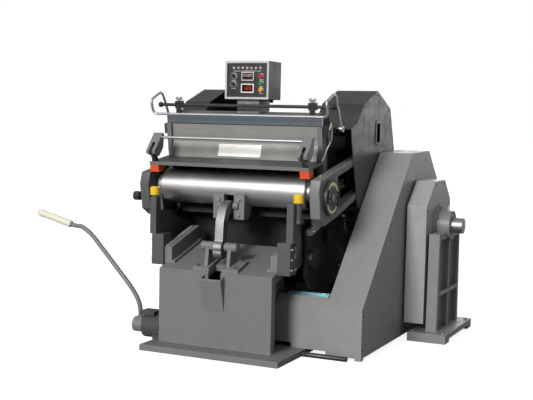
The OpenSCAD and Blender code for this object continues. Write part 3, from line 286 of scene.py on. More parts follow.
def make_finishes(look):
    """Builds every finish from the colours of the settings."""
    def grey(share=1.0):
        return tuple(c * share for c in look.machine_grey)

    FINISHES.update({
        "grey": painted("Machine grey on castings", grey(), **CAST),
        "sheet": painted("Machine grey on sheet metal", grey(), **FOLDED),
        # The base, platen, bed and dark grey finishes are painted black inside their boxes, as shade.
        "base": painted("Machine grey on the base", grey(), **CAST, shade_box=UNDER_THE_BED),
        "platen": painted("Machine grey on the platen", grey(), **CAST, shade_box=ROUND_THE_DRUM),
        "bed": painted("Machine grey on the bed", grey(), **CAST, shade_box=ROUND_THE_BED),
        "post": painted("Darker grey on the posts", grey(0.42), **CAST),
        # The left rod is darker than the right one: painted shade, for the shadow it stands in.
        "left_rod_shaded": painted("Machine grey with painted shade on the left rod", grey(0.5), **CAST),
        # The tops of the gear covers get painted shade.
        "cover": painted("Dark grey on gear covers", grey(0.3), **FOLDED_DARK, top_shade=0.55),
        # The guard and the wheel cover are lighter than the castings: painted light, for the light that grows
        # towards the right.
        "guard": painted("Machine grey with painted light on guards", grey(1.4), **FOLDED),
        "wheel_cover": painted("Machine grey with painted light on the wheel cover", grey(1.75), **FOLDED),
        "pedestal": painted("Machine grey on the pedestal", grey(1.1), **CAST),
        "dark_grey": painted("Dark grey enamel", grey(0.4), 0.5, 300.0, 0.42, shade_box=BETWEEN_FRAMES),
        "pale_grey": painted("Pale grey enamel", tuple(look.panel_grey), 0.15, 700.0, 0.38, 0.2),
        "cast_rim": painted("Bright rim enamel", (0.5, 0.5, 0.49), 0.15, 700.0, 0.38, 0.2),
        "ground_steel": turned("Ground steel", (0.34, 0.34, 0.335), 0.44, 40.0, (1.0, 18.0, 18.0)),
        "cast_steel": turned("Cast steel", (0.3, 0.3, 0.29), 0.5, 70.0, (1.0, 1.0, 1.0), 0.1, 0.25),
        "polished": turned("Polished steel", (0.6, 0.6, 0.6), 0.38, 160.0, (9.0, 0.35, 0.35), 0.05, 0.05,
                           0.75),
        "blued": turned("Blued steel", (0.33, 0.37, 0.43), 0.3, 40.0, (1.0, 18.0, 18.0)),
        "board": die_board(),
        "yellow": painted("Yellow enamel", tuple(look.cap_yellow), 0.1, 700.0, 0.36, 0.3),
        "red_pad": moulded("Red rubber", tuple(look.pad_red), 0.5),
        "black": moulded("Black plastic", (0.022, 0.022, 0.023), 0.36),
        "black_metal": painted("Black enamel on steel", (0.022, 0.022, 0.023), 0.15, 500.0, 0.36, 0.5),
        "motor_blue": painted("Motor blue enamel", tuple(look.motor_blue), 0.3, 420.0, 0.42, 0.25),
        "belt": moulded("Belt rubber", (0.025, 0.025, 0.026), 0.62),
        "cream": moulded("Cream plastic", (0.72, 0.68, 0.56), 0.45),
        "red": moulded("Red button plastic", (0.5, 0.012, 0.01), 0.25),
        "green": moulded("Green button plastic", (0.02, 0.22, 0.05), 0.25),
        # The back panel gets a painted reflection, darker towards its foot.
        "brushed": turned("Brushed panel", (0.3, 0.3, 0.285), 0.55, 50.0, (14.0, 0.6, 0.6), 0.08, 0.2,
                          bare=0.45, reflection_fade=PANEL_REFLECTION),
        "lamp": moulded("Lamp lens", (0.75, 0.42, 0.3), 0.12),
        "white_ink": moulded("White ink", (0.7, 0.7, 0.66), 0.5),
        "window": moulded("Smoked window", (0.03, 0.006, 0.006), 0.08),
        "red_glow": moulded("Display figures", (0.8, 0.05, 0.02), 0.3),
        "brass": turned("Brass", (0.85, 0.76, 0.46), 0.35, 60.0, (1.0, 1.0, 1.0)),
        "plate": turned("Anodised plate", (0.5, 0.49, 0.46), 0.5, 90.0, (0.4, 9.0, 9.0), 0.05, 0.08),
        "shelf": painted("Dark green grey enamel", (0.06, 0.068, 0.064), 0.15, 500.0, 0.4, 0.6),
        "amber": moulded("Amber button plastic", (0.75, 0.28, 0.02), 0.25),
    })


FINISH_OF_NODE = {"gear_cover_left": "cover", "gear_cover_right": "cover", "control_box": "cover",
                  "belt_guard": "guard", "flywheel_cover": "wheel_cover", "outboard_pedestal": "pedestal",
                  "connecting_rod_left": "left_rod_shaded", "scrap_scoop": "sheet", "base_casting": "base",
                  "platen_casting": "platen", "bed_casting": "bed", "buffer_posts": "post",
                  "back_panel": "brushed"}


def finish_of(node, slot):
    """The finish of a node: its own, or that of its material slot."""
    return FINISHES[FINISH_OF_NODE.get(node, slot)]


# ---------------------------------------------------------------- shapes

def at(origin, axis=(0, 0, 1), up=(0, 1, 0)):
    """Places local millimetres at an origin, with local Z along axis and local Y near up."""
    z = Vector(axis).normalized()
    x = Vector(up).cross(z).normalized()
    place = Matrix((x, z.cross(x), z)).transposed().to_4x4()
    place.translation = Vector(origin) * MM
    return place @ Matrix.Scale(MM, 4)


LEANED = Matrix.Translation(SHAFT) @ Matrix.Rotation(math.radians(LEAN), 4, "X")
ON_WAYS = Matrix.Translation(SHAFT) @ Matrix.Rotation(math.radians(WAY_SLOPE), 4, "X")


def circle(r, z, steps=32):
    """Ring of points of radius r at height z."""
    turns = (2 * math.pi * k / steps for k in range(steps))
    return [(r * math.cos(a), r * math.sin(a), z) for a in turns]


def rounded(w, h, r, z, corner=4):
    """Ring of points round a w by h rectangle whose corners have radius r."""
    points = []
    for side, (sx, sy) in enumerate(((1, 1), (-1, 1), (-1, -1), (1, -1))):
        for k in range(corner + 1):
            a = math.radians(90 * side + 90 * k / corner)
            points.append((sx * (w / 2 - r) + r * math.cos(a), sy * (h / 2 - r) + r * math.sin(a), z))
    return points


def skin(bm, rings, place, closed=False):
    """Joins rings of equally many points; closed joins the last ring to the first, else the ends get caps."""
    made = [[bm.verts.new(place @ Vector(p)) for p in ring] for ring in rings]
    for a, b in zip(made, made[1:] + made[:1] if closed else made[1:]):
        for k in range(len(a)):
            n = (k + 1) % len(a)
            bm.faces.new((a[k], a[n], b[n], b[k]))
    if not closed:
        bm.faces.new(made[0][::-1])
        bm.faces.new(made[-1])


def turn(bm, profile, place, steps=32):
    """Solid of revolution from (radius, height) pairs, closed at both ends."""
    skin(bm, [circle(r, z, steps) for r, z in profile], place)


def collar(bm, profile, place, steps=32):
    """Ring of revolution from (radius, height) pairs round a closed section."""
    skin(bm, [circle(r, z, steps) for r, z in profile], place, True)


def tablet(bm, w, h, t, r, c, place):
    """Rounded plate, t thick, whose upper edge is broken by c."""
    skin(bm, [rounded(w, h, r, 0), rounded(w, h, r, t - c),
              rounded(w - 2 * c, h - 2 * c, max(r - c, 0.1), t)], place)


def surround(bm, w, h, band, t, r, place, c=0.6):
    """Rounded frame around a window."""
    inner = (w - 2 * band, h - 2 * band, max(r - band, 0.4))
    skin(bm, [rounded(w, h, r, 0), rounded(w, h, r, t - c), rounded(w - 2 * c, h - 2 * c, max(r - c, 0.3), t),
              rounded(*inner, t), rounded(*inner, 0)], place, True)


def outline(bm, points, t, place):
    """Plate, t thick, on a flat outline."""
    skin(bm, [[(x, y, 0) for x, y in points], [(x, y, t) for x, y in points]], place)


def sector(r0, r1, a0, a1, steps=18):
    """Flat outline of part of a ring, from angle a0 to a1 in degrees."""
    ring = [math.radians(a0 + (a1 - a0) * k / steps) for k in range(steps + 1)]
    return ([(r1 * math.cos(a), r1 * math.sin(a)) for a in ring] +
            [(r0 * math.cos(a), r0 * math.sin(a)) for a in reversed(ring)])


# Each bar of a figure: its place across and up, in half figures, and whether it lies level.
BARS = {"a": (0, 1, 1), "b": (1, 0.5, 0), "c": (1, -0.5, 0), "d": (0, -1, 1), "e": (-1, -0.5, 0),
        "f": (-1, 0.5, 0), "g": (0, 0, 1)}
NUMERALS = {"0": "abcdef", "1": "bc", "2": "abged", "3": "abgcd", "4": "fgbc", "5": "afgcd", "6": "afgedc",
            "7": "abc", "8": "abcdefg", "9": "abcdfg"}


def numeral(bm, figure, size, place, t=0.4):
    """One figure made of plain bars."""
    for bar in NUMERALS[figure]:
        x, y, level = BARS[bar]
        w, h = (0.5 * size, 0.12 * size) if level else (0.12 * size, 0.4 * size)
        middle = Matrix.Translation((x * 0.26 * size, y * 0.46 * size, 0))
        tablet(bm, w, h, t, 0.04 * size, 0.1, place @ middle)


def piece(name, form, finish, body, replaces=(), smooth=35):
    """Makes a finished object of a mesh or an edit mesh and lets it ride on its body."""
    mesh = form
    if isinstance(form, bmesh.types.BMesh):
        bmesh.ops.recalc_face_normals(form, faces=form.faces)
        mesh = bpy.data.meshes.new(name)
        form.to_mesh(mesh)
        form.free()
    mesh.name = name
    obj = bpy.data.objects.new(name, mesh)
    bpy.context.scene.collection.objects.link(obj)
    mesh.materials.clear()
    mesh.materials.append(FINISHES[finish] if isinstance(finish, str) else finish)
    if smooth is not None:
        mesh.shade_smooth()
        mesh.set_sharp_from_angle(angle=math.radians(smooth))
    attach(obj, body)
    if replaces:
        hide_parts(*replaces)
    return obj


def baked(obj):
    """The evaluated mesh of an object, which is then removed."""
    bpy.context.view_layer.update()
    mesh = bpy.data.meshes.new_from_object(obj.evaluated_get(bpy.context.evaluated_depsgraph_get()))
    bpy.data.objects.remove(obj)
    return mesh


def softened(node, width, segments=2, angle=32.0, finish=None):
    """Makes a piece that stands for a CAD node, with the same form and edges rounded by width."""
    bm = bmesh.new()
    bm.from_mesh(frame["nodes"][node].data)
    bmesh.ops.remove_doubles(bm, verts=bm.verts, dist=0.02 * MM)
    bmesh.ops.dissolve_limit(bm, angle_limit=math.radians(0.6), verts=bm.verts, edges=bm.edges)
    mesh = bpy.data.meshes.new(node)
    bm.to_mesh(mesh)
    bm.free()
    rough = bpy.data.objects.new(node + "_rough", mesh)
    bpy.context.scene.collection.objects.link(rough)
    mesh.shade_smooth()
    mesh.set_sharp_from_angle(angle=math.radians(angle))
    bevel = rough.modifiers.new("edges", "BEVEL")
    bevel.width = width * MM
    bevel.segments = segments
    bevel.limit_method = "ANGLE"
    bevel.angle_limit = math.radians(angle)
    even = rough.modifiers.new("even", "WEIGHTED_NORMAL")
    even.weight = 90
    part = next(s for s in frame["record"]["subparts"] if s["node"] == node)
    slot = part["material_slot"]
    look = FINISHES[finish] if finish else finish_of(node, slot)
    return piece(node + "_cast", baked(rough), look, BODY_OF[node], (node,), None)


def node_tree(name, inputs):
    """An empty node tree with named inputs and one result."""
    tree = bpy.data.node_groups.new(name, "GeometryNodeTree")
    for label, kind in inputs:
        tree.interface.new_socket(label, in_out="INPUT", socket_type="NodeSocket" + kind)
    tree.interface.new_socket("Result", in_out="OUTPUT", socket_type="NodeSocketGeometry")
    return tree, tree.nodes.new("NodeGroupInput"), tree.nodes.new("NodeGroupOutput")


def finish_tree(tree, source, entry, exit_node):
    """Ends a tree in Realize Instances and Set Material."""
    real = tree.nodes.new("GeometryNodeRealizeInstances")
    paint = tree.nodes.new("GeometryNodeSetMaterial")
    tree.links.new(source, real.inputs[0])
    tree.links.new(real.outputs[0], paint.inputs["Geometry"])
    tree.links.new(entry.outputs["Finish"], paint.inputs["Material"])
    tree.links.new(paint.outputs[0], exit_node.inputs["Result"])


def fastener_tree():
    """Sets a head on every point, its axis along the point's facing."""
    tree, entry, exit_node = node_tree("Fasteners", (("Points", "Geometry"), ("Head", "Object"),
                                                     ("Size", "Float"), ("Finish", "Material")))
    head = tree.nodes.new("GeometryNodeObjectInfo")
    named = tree.nodes.new("GeometryNodeInputNamedAttribute")
    named.data_type = "FLOAT_VECTOR"
    named.inputs["Name"].default_value = "facing"
    align = tree.nodes.new("FunctionNodeAlignRotationToVector")
    align.axis = "Z"
    place = tree.nodes.new("GeometryNodeInstanceOnPoints")
    tree.links.new(entry.outputs["Head"], head.inputs["Object"])
    tree.links.new(named.outputs["Attribute"], align.inputs["Vector"])
    tree.links.new(entry.outputs["Points"], place.inputs["Points"])
    tree.links.new(head.outputs["Geometry"], place.inputs["Instance"])
    tree.links.new(align.outputs["Rotation"], place.inputs["Rotation"])
    tree.links.new(entry.outputs["Size"], place.inputs["Scale"])
    finish_tree(tree, place.outputs["Instances"], entry, exit_node)
    return tree


def coil_tree():
    """A helical spring standing on a foot point."""
    tree, entry, exit_node = node_tree("Coil", (("Base", "Geometry"), ("Turns", "Float"), ("Radius", "Float"),
                                                ("Height", "Float"), ("Wire", "Float"), ("Foot", "Vector"),
                                                ("Turned", "Rotation"), ("Finish", "Material")))
    spiral = tree.nodes.new("GeometryNodeCurveSpiral")
    spiral.inputs["Resolution"].default_value = 14
    section = tree.nodes.new("GeometryNodeCurvePrimitiveCircle")
    section.inputs["Resolution"].default_value = 8
    thick = tree.nodes.new("GeometryNodeCurveToMesh")
    move = tree.nodes.new("GeometryNodeTransform")
    for source, sockets in (("Turns", ("Rotations",)), ("Radius", ("Start Radius", "End Radius")),
                            ("Height", ("Height",))):
        for socket in sockets:
            tree.links.new(entry.outputs[source], spiral.inputs[socket])
    tree.links.new(entry.outputs["Wire"], section.inputs["Radius"])
    tree.links.new(spiral.outputs[0], thick.inputs["Curve"])
    tree.links.new(section.outputs[0], thick.inputs["Profile Curve"])
    tree.links.new(thick.outputs[0], move.inputs["Geometry"])
    tree.links.new(entry.outputs["Foot"], move.inputs["Translation"])
    tree.links.new(entry.outputs["Turned"], move.inputs["Rotation"])
    finish_tree(tree, move.outputs[0], entry, exit_node)
    return tree


def grown(name, mesh, tree, values):
    """Runs a node tree on a mesh and gives the plain mesh back."""
    obj = bpy.data.objects.new(name, mesh)
    bpy.context.scene.collection.objects.link(obj)
    grow = obj.modifiers.new("grow", "NODES")
    grow.node_group = tree
    for item in tree.interface.items_tree:
        if item.in_out == "INPUT" and item.name in values:
            grow[item.identifier] = values[item.name]
    return baked(obj)


def head_object(name, build):
    """A fastener head, one unit of its own size to the metre, for the tree to repeat."""
    bm = bmesh.new()
    build(bm)
    bmesh.ops.recalc_face_normals(bm, faces=bm.faces)
    mesh = bpy.data.meshes.new(name)
    bm.to_mesh(mesh)
    bm.free()
    obj = bpy.data.objects.new(name, mesh)
    bpy.context.scene.collection.objects.link(obj)
    return obj


# ---------------------------------------------------------------- settings

class LookSettings(bpy.types.PropertyGroup):
    """Colours of the machine and the rounding of its edges"""
    machine_grey: bpy.props.FloatVectorProperty(
        name="Machine grey", description="Enamel on the castings and covers", subtype="COLOR",
        default=(0.165, 0.167, 0.165), min=0, max=1)
    panel_grey: bpy.props.FloatVectorProperty(
        name="Pale grey", description="Enamel on the control box and the platen panel", subtype="COLOR",
        default=(0.42, 0.42, 0.41), min=0, max=1)
    cap_yellow: bpy.props.FloatVectorProperty(
        name="Cap yellow", description="Enamel on the buffer caps", subtype="COLOR",
        default=(0.75, 0.5, 0.02), min=0, max=1)
    pad_red: bpy.props.FloatVectorProperty(
        name="Pad red", description="Rubber of the rest pads", subtype="COLOR",
        default=(0.62, 0.07, 0.02), min=0, max=1)
    motor_blue: bpy.props.FloatVectorProperty(
        name="Motor blue", description="Enamel on the motor", subtype="COLOR",
        default=(0.32, 0.66, 0.72), min=0, max=1)
    edge_share: bpy.props.FloatProperty(
        name="Edge rounding", description="Share of each casting's edge rounding", default=1.0,
        min=0.2, max=1.5)


class StageSettings(bpy.types.PropertyGroup):
    """Strengths of the lights"""
    sun: bpy.props.FloatProperty(
        name="Key light", description="Strength of the soft key light", default=3.1, min=0)
    back: bpy.props.FloatProperty(
        name="Back light", description="Strength of the light on the far sides", default=1.5, min=0)
    sky: bpy.props.FloatProperty(
        name="Fill light", description="Strength of the even light", default=0.25, min=0)


# ---------------------------------------------------------------- operators

class DIECUT_OT_finishes(bpy.types.Operator):
    """Give every part of the frame its procedural finish"""
    bl_idname = "diecut.finishes"
    bl_label = "Finishes"

    def execute(self, context):
        make_finishes(context.scene.diecut_look)
        for part in frame["record"]["subparts"]:
            node = frame["nodes"][part["node"]]
            node.data.materials.clear()
            node.data.materials.append(finish_of(part["node"], part["material_slot"]))
        return {"FINISHED"}


# How far each casting's or cover's edges are rounded, in millimetres.
CAST_EDGES = {"base_casting": 5, "scrap_scoop": 1.6, "guide_rails": 2, "side_frames": 4, "bed_casting": 5,
              "buffer_posts": 4, "buffer_caps": 2.5, "leg_pedestals": 3.5, "swing_leg": 4, "control_post": 4,
              "gear_cover_left": 1.8, "gear_cover_right": 1.8, "belt_guard": 1.8, "flywheel_cover": 1.8,
              "outboard_pedestal": 3.5, "bearing_housing": 3, "connecting_rod_left": 5,
              "connecting_rod_right": 5, "slide_saddles": 4, "platen_casting": 3.5, "rest_pads": 2.5,
              "leg_bracket": 4, "lever_bracket": 3.5, "bar_arms": 3, "platen_brackets": 2, "lever_grip": 2}


class DIECUT_OT_castings(bpy.types.Operator):
    """Round the edges of the castings and folded covers"""
    bl_idname = "diecut.castings"
    bl_label = "Castings and covers"

    def execute(self, context):
        share = context.scene.diecut_look.edge_share
        for node, width in CAST_EDGES.items():
            softened(node, width * share)
        return {"FINISHED"}


class DIECUT_OT_control_box(bpy.types.Operator):
    """Rim, lamps, counter, display, bezels and dials of the control box"""
    bl_idname = "diecut.control_box"
    bl_label = "Control box"

    def execute(self, context):
        low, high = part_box("control_box")
        middle = ((low[0] + high[0]) / 2 / MM, 0, (low[2] + high[2]) / 2 / MM)
        wide, tall = (high[0] - low[0]) / MM, (high[2] - low[2]) / MM
        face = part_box("control_panel")[0][1] / MM
        base = low[2] / MM
        softened("control_box", 3, 3)

        def front(x, z, proud=0.0):
            return at((x, face - proud, base + z), FORWARD, UPWARD)

        bm = bmesh.new()
        surround(bm, wide - 1, tall - 1, 12, 1.6, 4, at((middle[0], low[1] / MM + 1, middle[2]),
                                                       FORWARD, UPWARD))
        piece("box_rim", bm, "cast_rim", "base")

        lamp_z, lamp_pitch = 190, 30
        button_x, button_rows = 96, (142, 100, 58)
        dial_x, dial_rows = -92, (142, 92)
        counter, display = (5, 140), (4, 67)

        bezels, domes, glass = bmesh.new(), bmesh.new(), bmesh.new()
        for k in range(-3, 4):
            collar(bezels, [(8.4, 0), (8.2, 2.4), (7.4, 3.2), (6.2, 3.2), (6.2, 0)],
                   front(k * lamp_pitch, lamp_z), 24)
            turn(domes, [(5.9, 3.6), (5.9, 4.6), (5.2, 6.0), (3.6, 7.1), (1.4, 7.6)],
                 front(k * lamp_pitch, lamp_z), 24)
        piece("lamp_domes", domes, "lamp", "base")
        for z in button_rows:
            collar(bezels, [(17.5, 0), (17, 3), (15.6, 4.2), (14, 4.2), (14, 0)], front(button_x, z), 32)
        for z in dial_rows:
            collar(bezels, [(18.5, 0), (18.3, 0.8), (15, 0.8), (15, 0)], front(dial_x, z), 32)
        surround(bezels, 84, 54, 6, 6.2, 3, front(*counter))
        piece("panel_bezels", bezels, "polished", "base")

        marks = bmesh.new()
        for z in dial_rows:
            for angle in range(-120, 121, 30):
                tick = front(dial_x, z) @ Matrix.Rotation(math.radians(angle), 4, "Z")
                tablet(marks, 1.6, 6, 0.5, 0.4, 0.15, tick @ Matrix.Translation((0, 24, 0)))
        bars = ([(button_x, z - 22, 26) for z in button_rows] + [(dial_x, z - 26, 30) for z in dial_rows] +
                [(0, lamp_z - 18, 190)])
        for x, z, length in bars:
            tablet(marks, length, 2.2, 0.5, 0.8, 0.15, front(x, z))
        surround(marks, 88, 56, 7, 4.6, 3, front(*display))
        piece("panel_marks", marks, "white_ink", "base")

        counter_glass, display_glass = 4.8, 3.8
        tablet(glass, 72, 42, counter_glass, 2, 0.6, front(*counter))
        tablet(glass, 74, 42, display_glass, 2, 0.6, front(*display))
        piece("panel_windows", glass, "window", "base")
        figures, glow, keys = bmesh.new(), bmesh.new(), bmesh.new()
        for k, figure in enumerate("0000"):
            numeral(figures, figure, 15, front(counter[0] + (k - 1.5) * 15, counter[1] + 6, counter_glass))
        for k, figure in enumerate("120"):
            numeral(glow, figure, 19, front(display[0] + (k - 1) * 19, display[1], display_glass))
        piece("counter_figures", figures, "white_ink", "base")
        piece("display_figures", glow, "red_glow", "base")
        for k in range(4):
            tablet(keys, 9, 6, 1.4, 1.2, 0.5,
                   front(counter[0] + (k - 1.5) * 15, counter[1] - 13, counter_glass - 0.2))
        piece("counter_keys", keys, "black", "base")
        gland = bmesh.new()
        turn(gland, [(15, 0), (15, 4), (12, 5), (12, 16), (9, 18)],
             at((middle[0] + 100, high[1] / MM - 30, low[2] / MM), (0, 0, -1)), 6)
        piece("cable_gland", gland, "black", "base")
        return {"FINISHED"}


class DIECUT_OT_platen(bpy.types.Operator):
    """Blank plate with its rivets, and the delivery shelf with its lip"""
    bl_idname = "diecut.platen"
    bl_label = "Platen fittings"

    def execute(self, context):
        panel_run, panel_rise = 42, 262 - 174
        slope = math.atan2(panel_run, panel_rise)
        tilt = (0, -math.cos(slope), math.sin(slope))
        place = LEANED @ at((-18, 84, 218), tilt, (0, math.sin(slope), math.cos(slope)))
        plate = bmesh.new()
        tablet(plate, 292, 78, 1.2, 5, 0.4, place)
        piece("blank_plate", plate, "plate", "platen")
        rivets = bmesh.new()
        for x in (-138, 138):
            for y in (-31, 31):
                turn(rivets, [(3.6, 1.1), (3.4, 2.0), (2.4, 2.8), (1.0, 3.1)],
                     place @ Matrix.Translation((x, y, 0)), 14)
        piece("plate_rivets", rivets, "polished", "platen")
        shelf = softened("delivery_shelf", 1.2, finish="shelf")
        shelf.name = "shelf_top"
        low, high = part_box("delivery_shelf")
        lip = bmesh.new()
        tablet(lip, (high[0] - low[0]) / MM - 2, 21, 2.4, 2, 0.8,
               LEANED @ at((0, -133, 164), FORWARD, UPWARD))
        piece("shelf_lip", lip, "ground_steel", "platen")
        return {"FINISHED"}


class DIECUT_OT_dial(bpy.types.Operator):
    """Scale, arcs and hub of the impression dial, and the ribs of its far knob"""
    bl_idname = "diecut.dial"
    bl_label = "Impression dial"

    def execute(self, context):
        low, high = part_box("impression_dial")
        centre = (high[0] / MM, (low[1] + high[1]) / 2 / MM, (low[2] + high[2]) / 2 / MM)
        radius = (high[2] - low[2]) / 2 / MM
        face = at(centre, RIGHT, UPWARD)
        arcs = bmesh.new()
        for start in (25, 205):
            outline(arcs, sector(radius - 32, radius - 14, start, start + 115), 3.2,
                    face @ Matrix.Translation((0, 0, -4.6)))
        piece("dial_arcs", arcs, "brass", "dial")
        ticks = bmesh.new()
        for k in range(40):
            spin = face @ Matrix.Rotation(2 * math.pi * k / 40, 4, "Z")
            long = k % 4 == 0
            tablet(ticks, 1.2, 8 if long else 5, 0.5, 0.3, 0.15,
                   spin @ Matrix.Translation((0, radius - (7.5 if long else 6), 0)))
        for k in range(10):
            angle = math.radians(90 - 36 * k)
            numeral(ticks, str(k), 11, face @ Matrix.Translation(
                ((radius - 46) * math.cos(angle), (radius - 46) * math.sin(angle), 0)), 0.5)
        piece("dial_scale", ticks, "white_ink", "dial")
        hub = bmesh.new()
        turn(hub, [(22, -0.5), (22, 4), (19, 7), (10, 8), (9, 5.5), (3, 5.5)], face, 40)
        piece("dial_hub", hub, "ground_steel", "dial")

        low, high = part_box("impression_knob")
        knob = bmesh.new()
        middle = (low[0] / MM, (low[1] + high[1]) / 2 / MM, (low[2] + high[2]) / 2 / MM)
        rib_depth, steps = 1.4, 72
        ribbed = []
        for r, z in ((26.5, -40.5), (28.6, -37), (28.6, -4), (25.5, 0.4)):
            radii = [r - (rib_depth if j % 4 < 2 else 0) for j in range(steps)]
            turns = [2 * math.pi * j / steps for j in range(steps)]
            ribbed.append([(q * math.cos(a), q * math.sin(a), z) for q, a in zip(radii, turns)])
        skin(knob, ribbed, at(middle, LEFT, UPWARD))
        piece("knob_ribs", knob, "black", "adjusting_knob", smooth=20)
        return {"FINISHED"}


class DIECUT_OT_running_gear(bpy.types.Operator):
    """Lugs, oilers, motor cowl and terminal box, floor bar and slot bezel"""
    bl_idname = "diecut.running_gear"
    bl_label = "Running gear fittings"

    def execute(self, context):
        frame_side = 496
        lug = bmesh.new()
        for side in (-1, 1):
            tablet(lug, 150, 60, 26, 12, 4,
                   at((side * frame_side, 40, 984), (side, 0, 0), (0, -0.25 * side, 1)))
        piece("frame_lugs", lug, "post", "base")

        oiler = bmesh.new()
        top = 95
        cup = [(9, -1), (9, 6), (6, 7), (6, 15), (8.5, 16), (8.5, 27), (5, 31), (1.5, 32)]
        turn(oiler, [(r, top + z) for r, z in cup], at(bearing_middle()), 18)
        piece("bearing_oiler", oiler, "brass", "base")
        oilers = bmesh.new()
        low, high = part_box("connecting_rod_right")
        for side in (-1, 1):
            place = at((side * (low[0] + high[0]) / 2 / MM, -396, 1050), (0, -0.25, 1))
            turn(oilers, [(8, -1), (8, 6), (5, 7), (5, 12), (7, 13), (7, 20), (4, 24), (1.2, 25)], place, 16)
        piece("rod_oilers", oilers, "brass", "carriage")

        low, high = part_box("motor")
        y, z = (low[1] + high[1]) / 2 / MM, high[2] / MM - 105
        cowl = bmesh.new()
        back = at((low[0] / MM, y, z), LEFT, UPWARD)
        for r in range(22, 92, 14):
            collar(cowl, [(r + 2.2, -0.5), (r + 2.2, 3.4), (r - 2.2, 3.4), (r - 2.2, -0.5)], back, 40)
        for k in range(6):
            spoke = back @ Matrix.Rotation(math.radians(60 * k), 4, "Z") @ Matrix.Translation((0, 50, -0.5))
            tablet(cowl, 7, 84, 3.6, 2, 0.8, spoke)
        turn(cowl, [(16, -0.5), (16, 4), (13, 5.2)], back, 32)
        piece("fan_grille", cowl, "motor_blue", "base")
        box = bmesh.new()
        rear = at((low[0] / MM + 130, y + 92, z), (0, 1, 0), (0, 0, 1))
        tablet(box, 92, 74, 30, 8, 3, rear)
        tablet(box, 98, 80, 8, 9, 2.5, rear @ Matrix.Translation((0, 0, 29)))
        turn(box, [(14, 0), (14, 12), (10, 13), (10, 22)],
             at((low[0] / MM + 130, y + 106, z - 37), (0, 0, -1)), 6)
        piece("terminal_box", box, "motor_blue", "base")

        bar = bmesh.new()
        turn(bar, [(13, 0), (14.5, 2), (14.5, 292), (12.5, 295)], at((470, -402, 15), (1, 0, 0)), 24)
        foot = at((484, -402, 16), RIGHT, UPWARD) @ Matrix.Rotation(math.pi / 2, 4, "Z")
        tablet(bar, 20, 60, 30, 6, 2, foot)
        piece("floor_bar", bar, "black_metal", "base")

        bezel = bmesh.new()
        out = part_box("gear_cover_right")[1][0] / MM
        surround(bezel, 101, 164, 19, 3.5, 34, at((out - 0.2, 487.5, 1315), RIGHT, UPWARD))
        piece("slot_bezel", bezel, "black", "base")
        return {"FINISHED"}


def bearing_middle():
    """Middle of the outboard bearing, in millimetres."""
    low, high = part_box("bearing_housing")
    return ((low[0] + 2 * high[0]) / 3 / MM, (low[1] + high[1]) / 2 / MM, (low[2] + high[2]) / 2 / MM)


class DIECUT_OT_fasteners(bpy.types.Operator):
    """Screws, bolts and the latch spring, grown by node trees"""
    bl_idname = "diecut.fasteners"
    bl_label = "Fasteners and spring"

    def execute(self, context):
        tree = fastener_tree()
        heads = {
            "hex": head_object("hex_head", lambda bm: (
                turn(bm, [(1250, 0), (1250, 180)], at((0, 0, 0)), 28),
                turn(bm, [(1000, 170), (1000, 760), (880, 860)], at((0, 0, 0)), 6))),
            "socket": head_object("socket_head", lambda bm: skin(
                bm, [circle(r, z, 24) for r, z in ((1000, 0), (1000, 620), (860, 760), (560, 760))] +
                [circle(560, 250, 24), circle(40, 250, 24)], at((0, 0, 0)))),
        }
        for name, (kind, size, finish, body, spots) in fastener_spots().items():
            mesh = bpy.data.meshes.new(name)
            mesh.from_pydata([Vector(spot) * MM for spot, _ in spots], [], [])
            facing = mesh.attributes.new("facing", "FLOAT_VECTOR", "POINT")
            facing.data.foreach_set("vector", [v for _, way in spots for v in way])
            values = {"Head": heads[kind], "Size": size * MM, "Finish": FINISHES[finish]}
            made = grown(name, mesh, tree, values)
            piece(name, made, finish, body)
        for head in heads.values():
            bpy.data.objects.remove(head)

        foot = LEANED @ Vector((0.557, 0.132, 0.262))
        coil = grown("latch_spring", bpy.data.meshes.new("latch_spring"), coil_tree(), {
            "Turns": 15.0, "Radius": 6 * MM, "Height": 84 * MM, "Wire": 1.3 * MM, "Foot": foot,
            "Turned": (math.radians(LEAN), 0.0, 0.0), "Finish": FINISHES["cast_steel"]})
        piece("latch_spring", coil, "cast_steel", "platen", smooth=60)
        return {"FINISHED"}


def way_point(x, y, z):
    """A point given in millimetres along the sloping ways."""
    return tuple(ON_WAYS @ Vector((x * MM, y * MM, z * MM)) / MM)


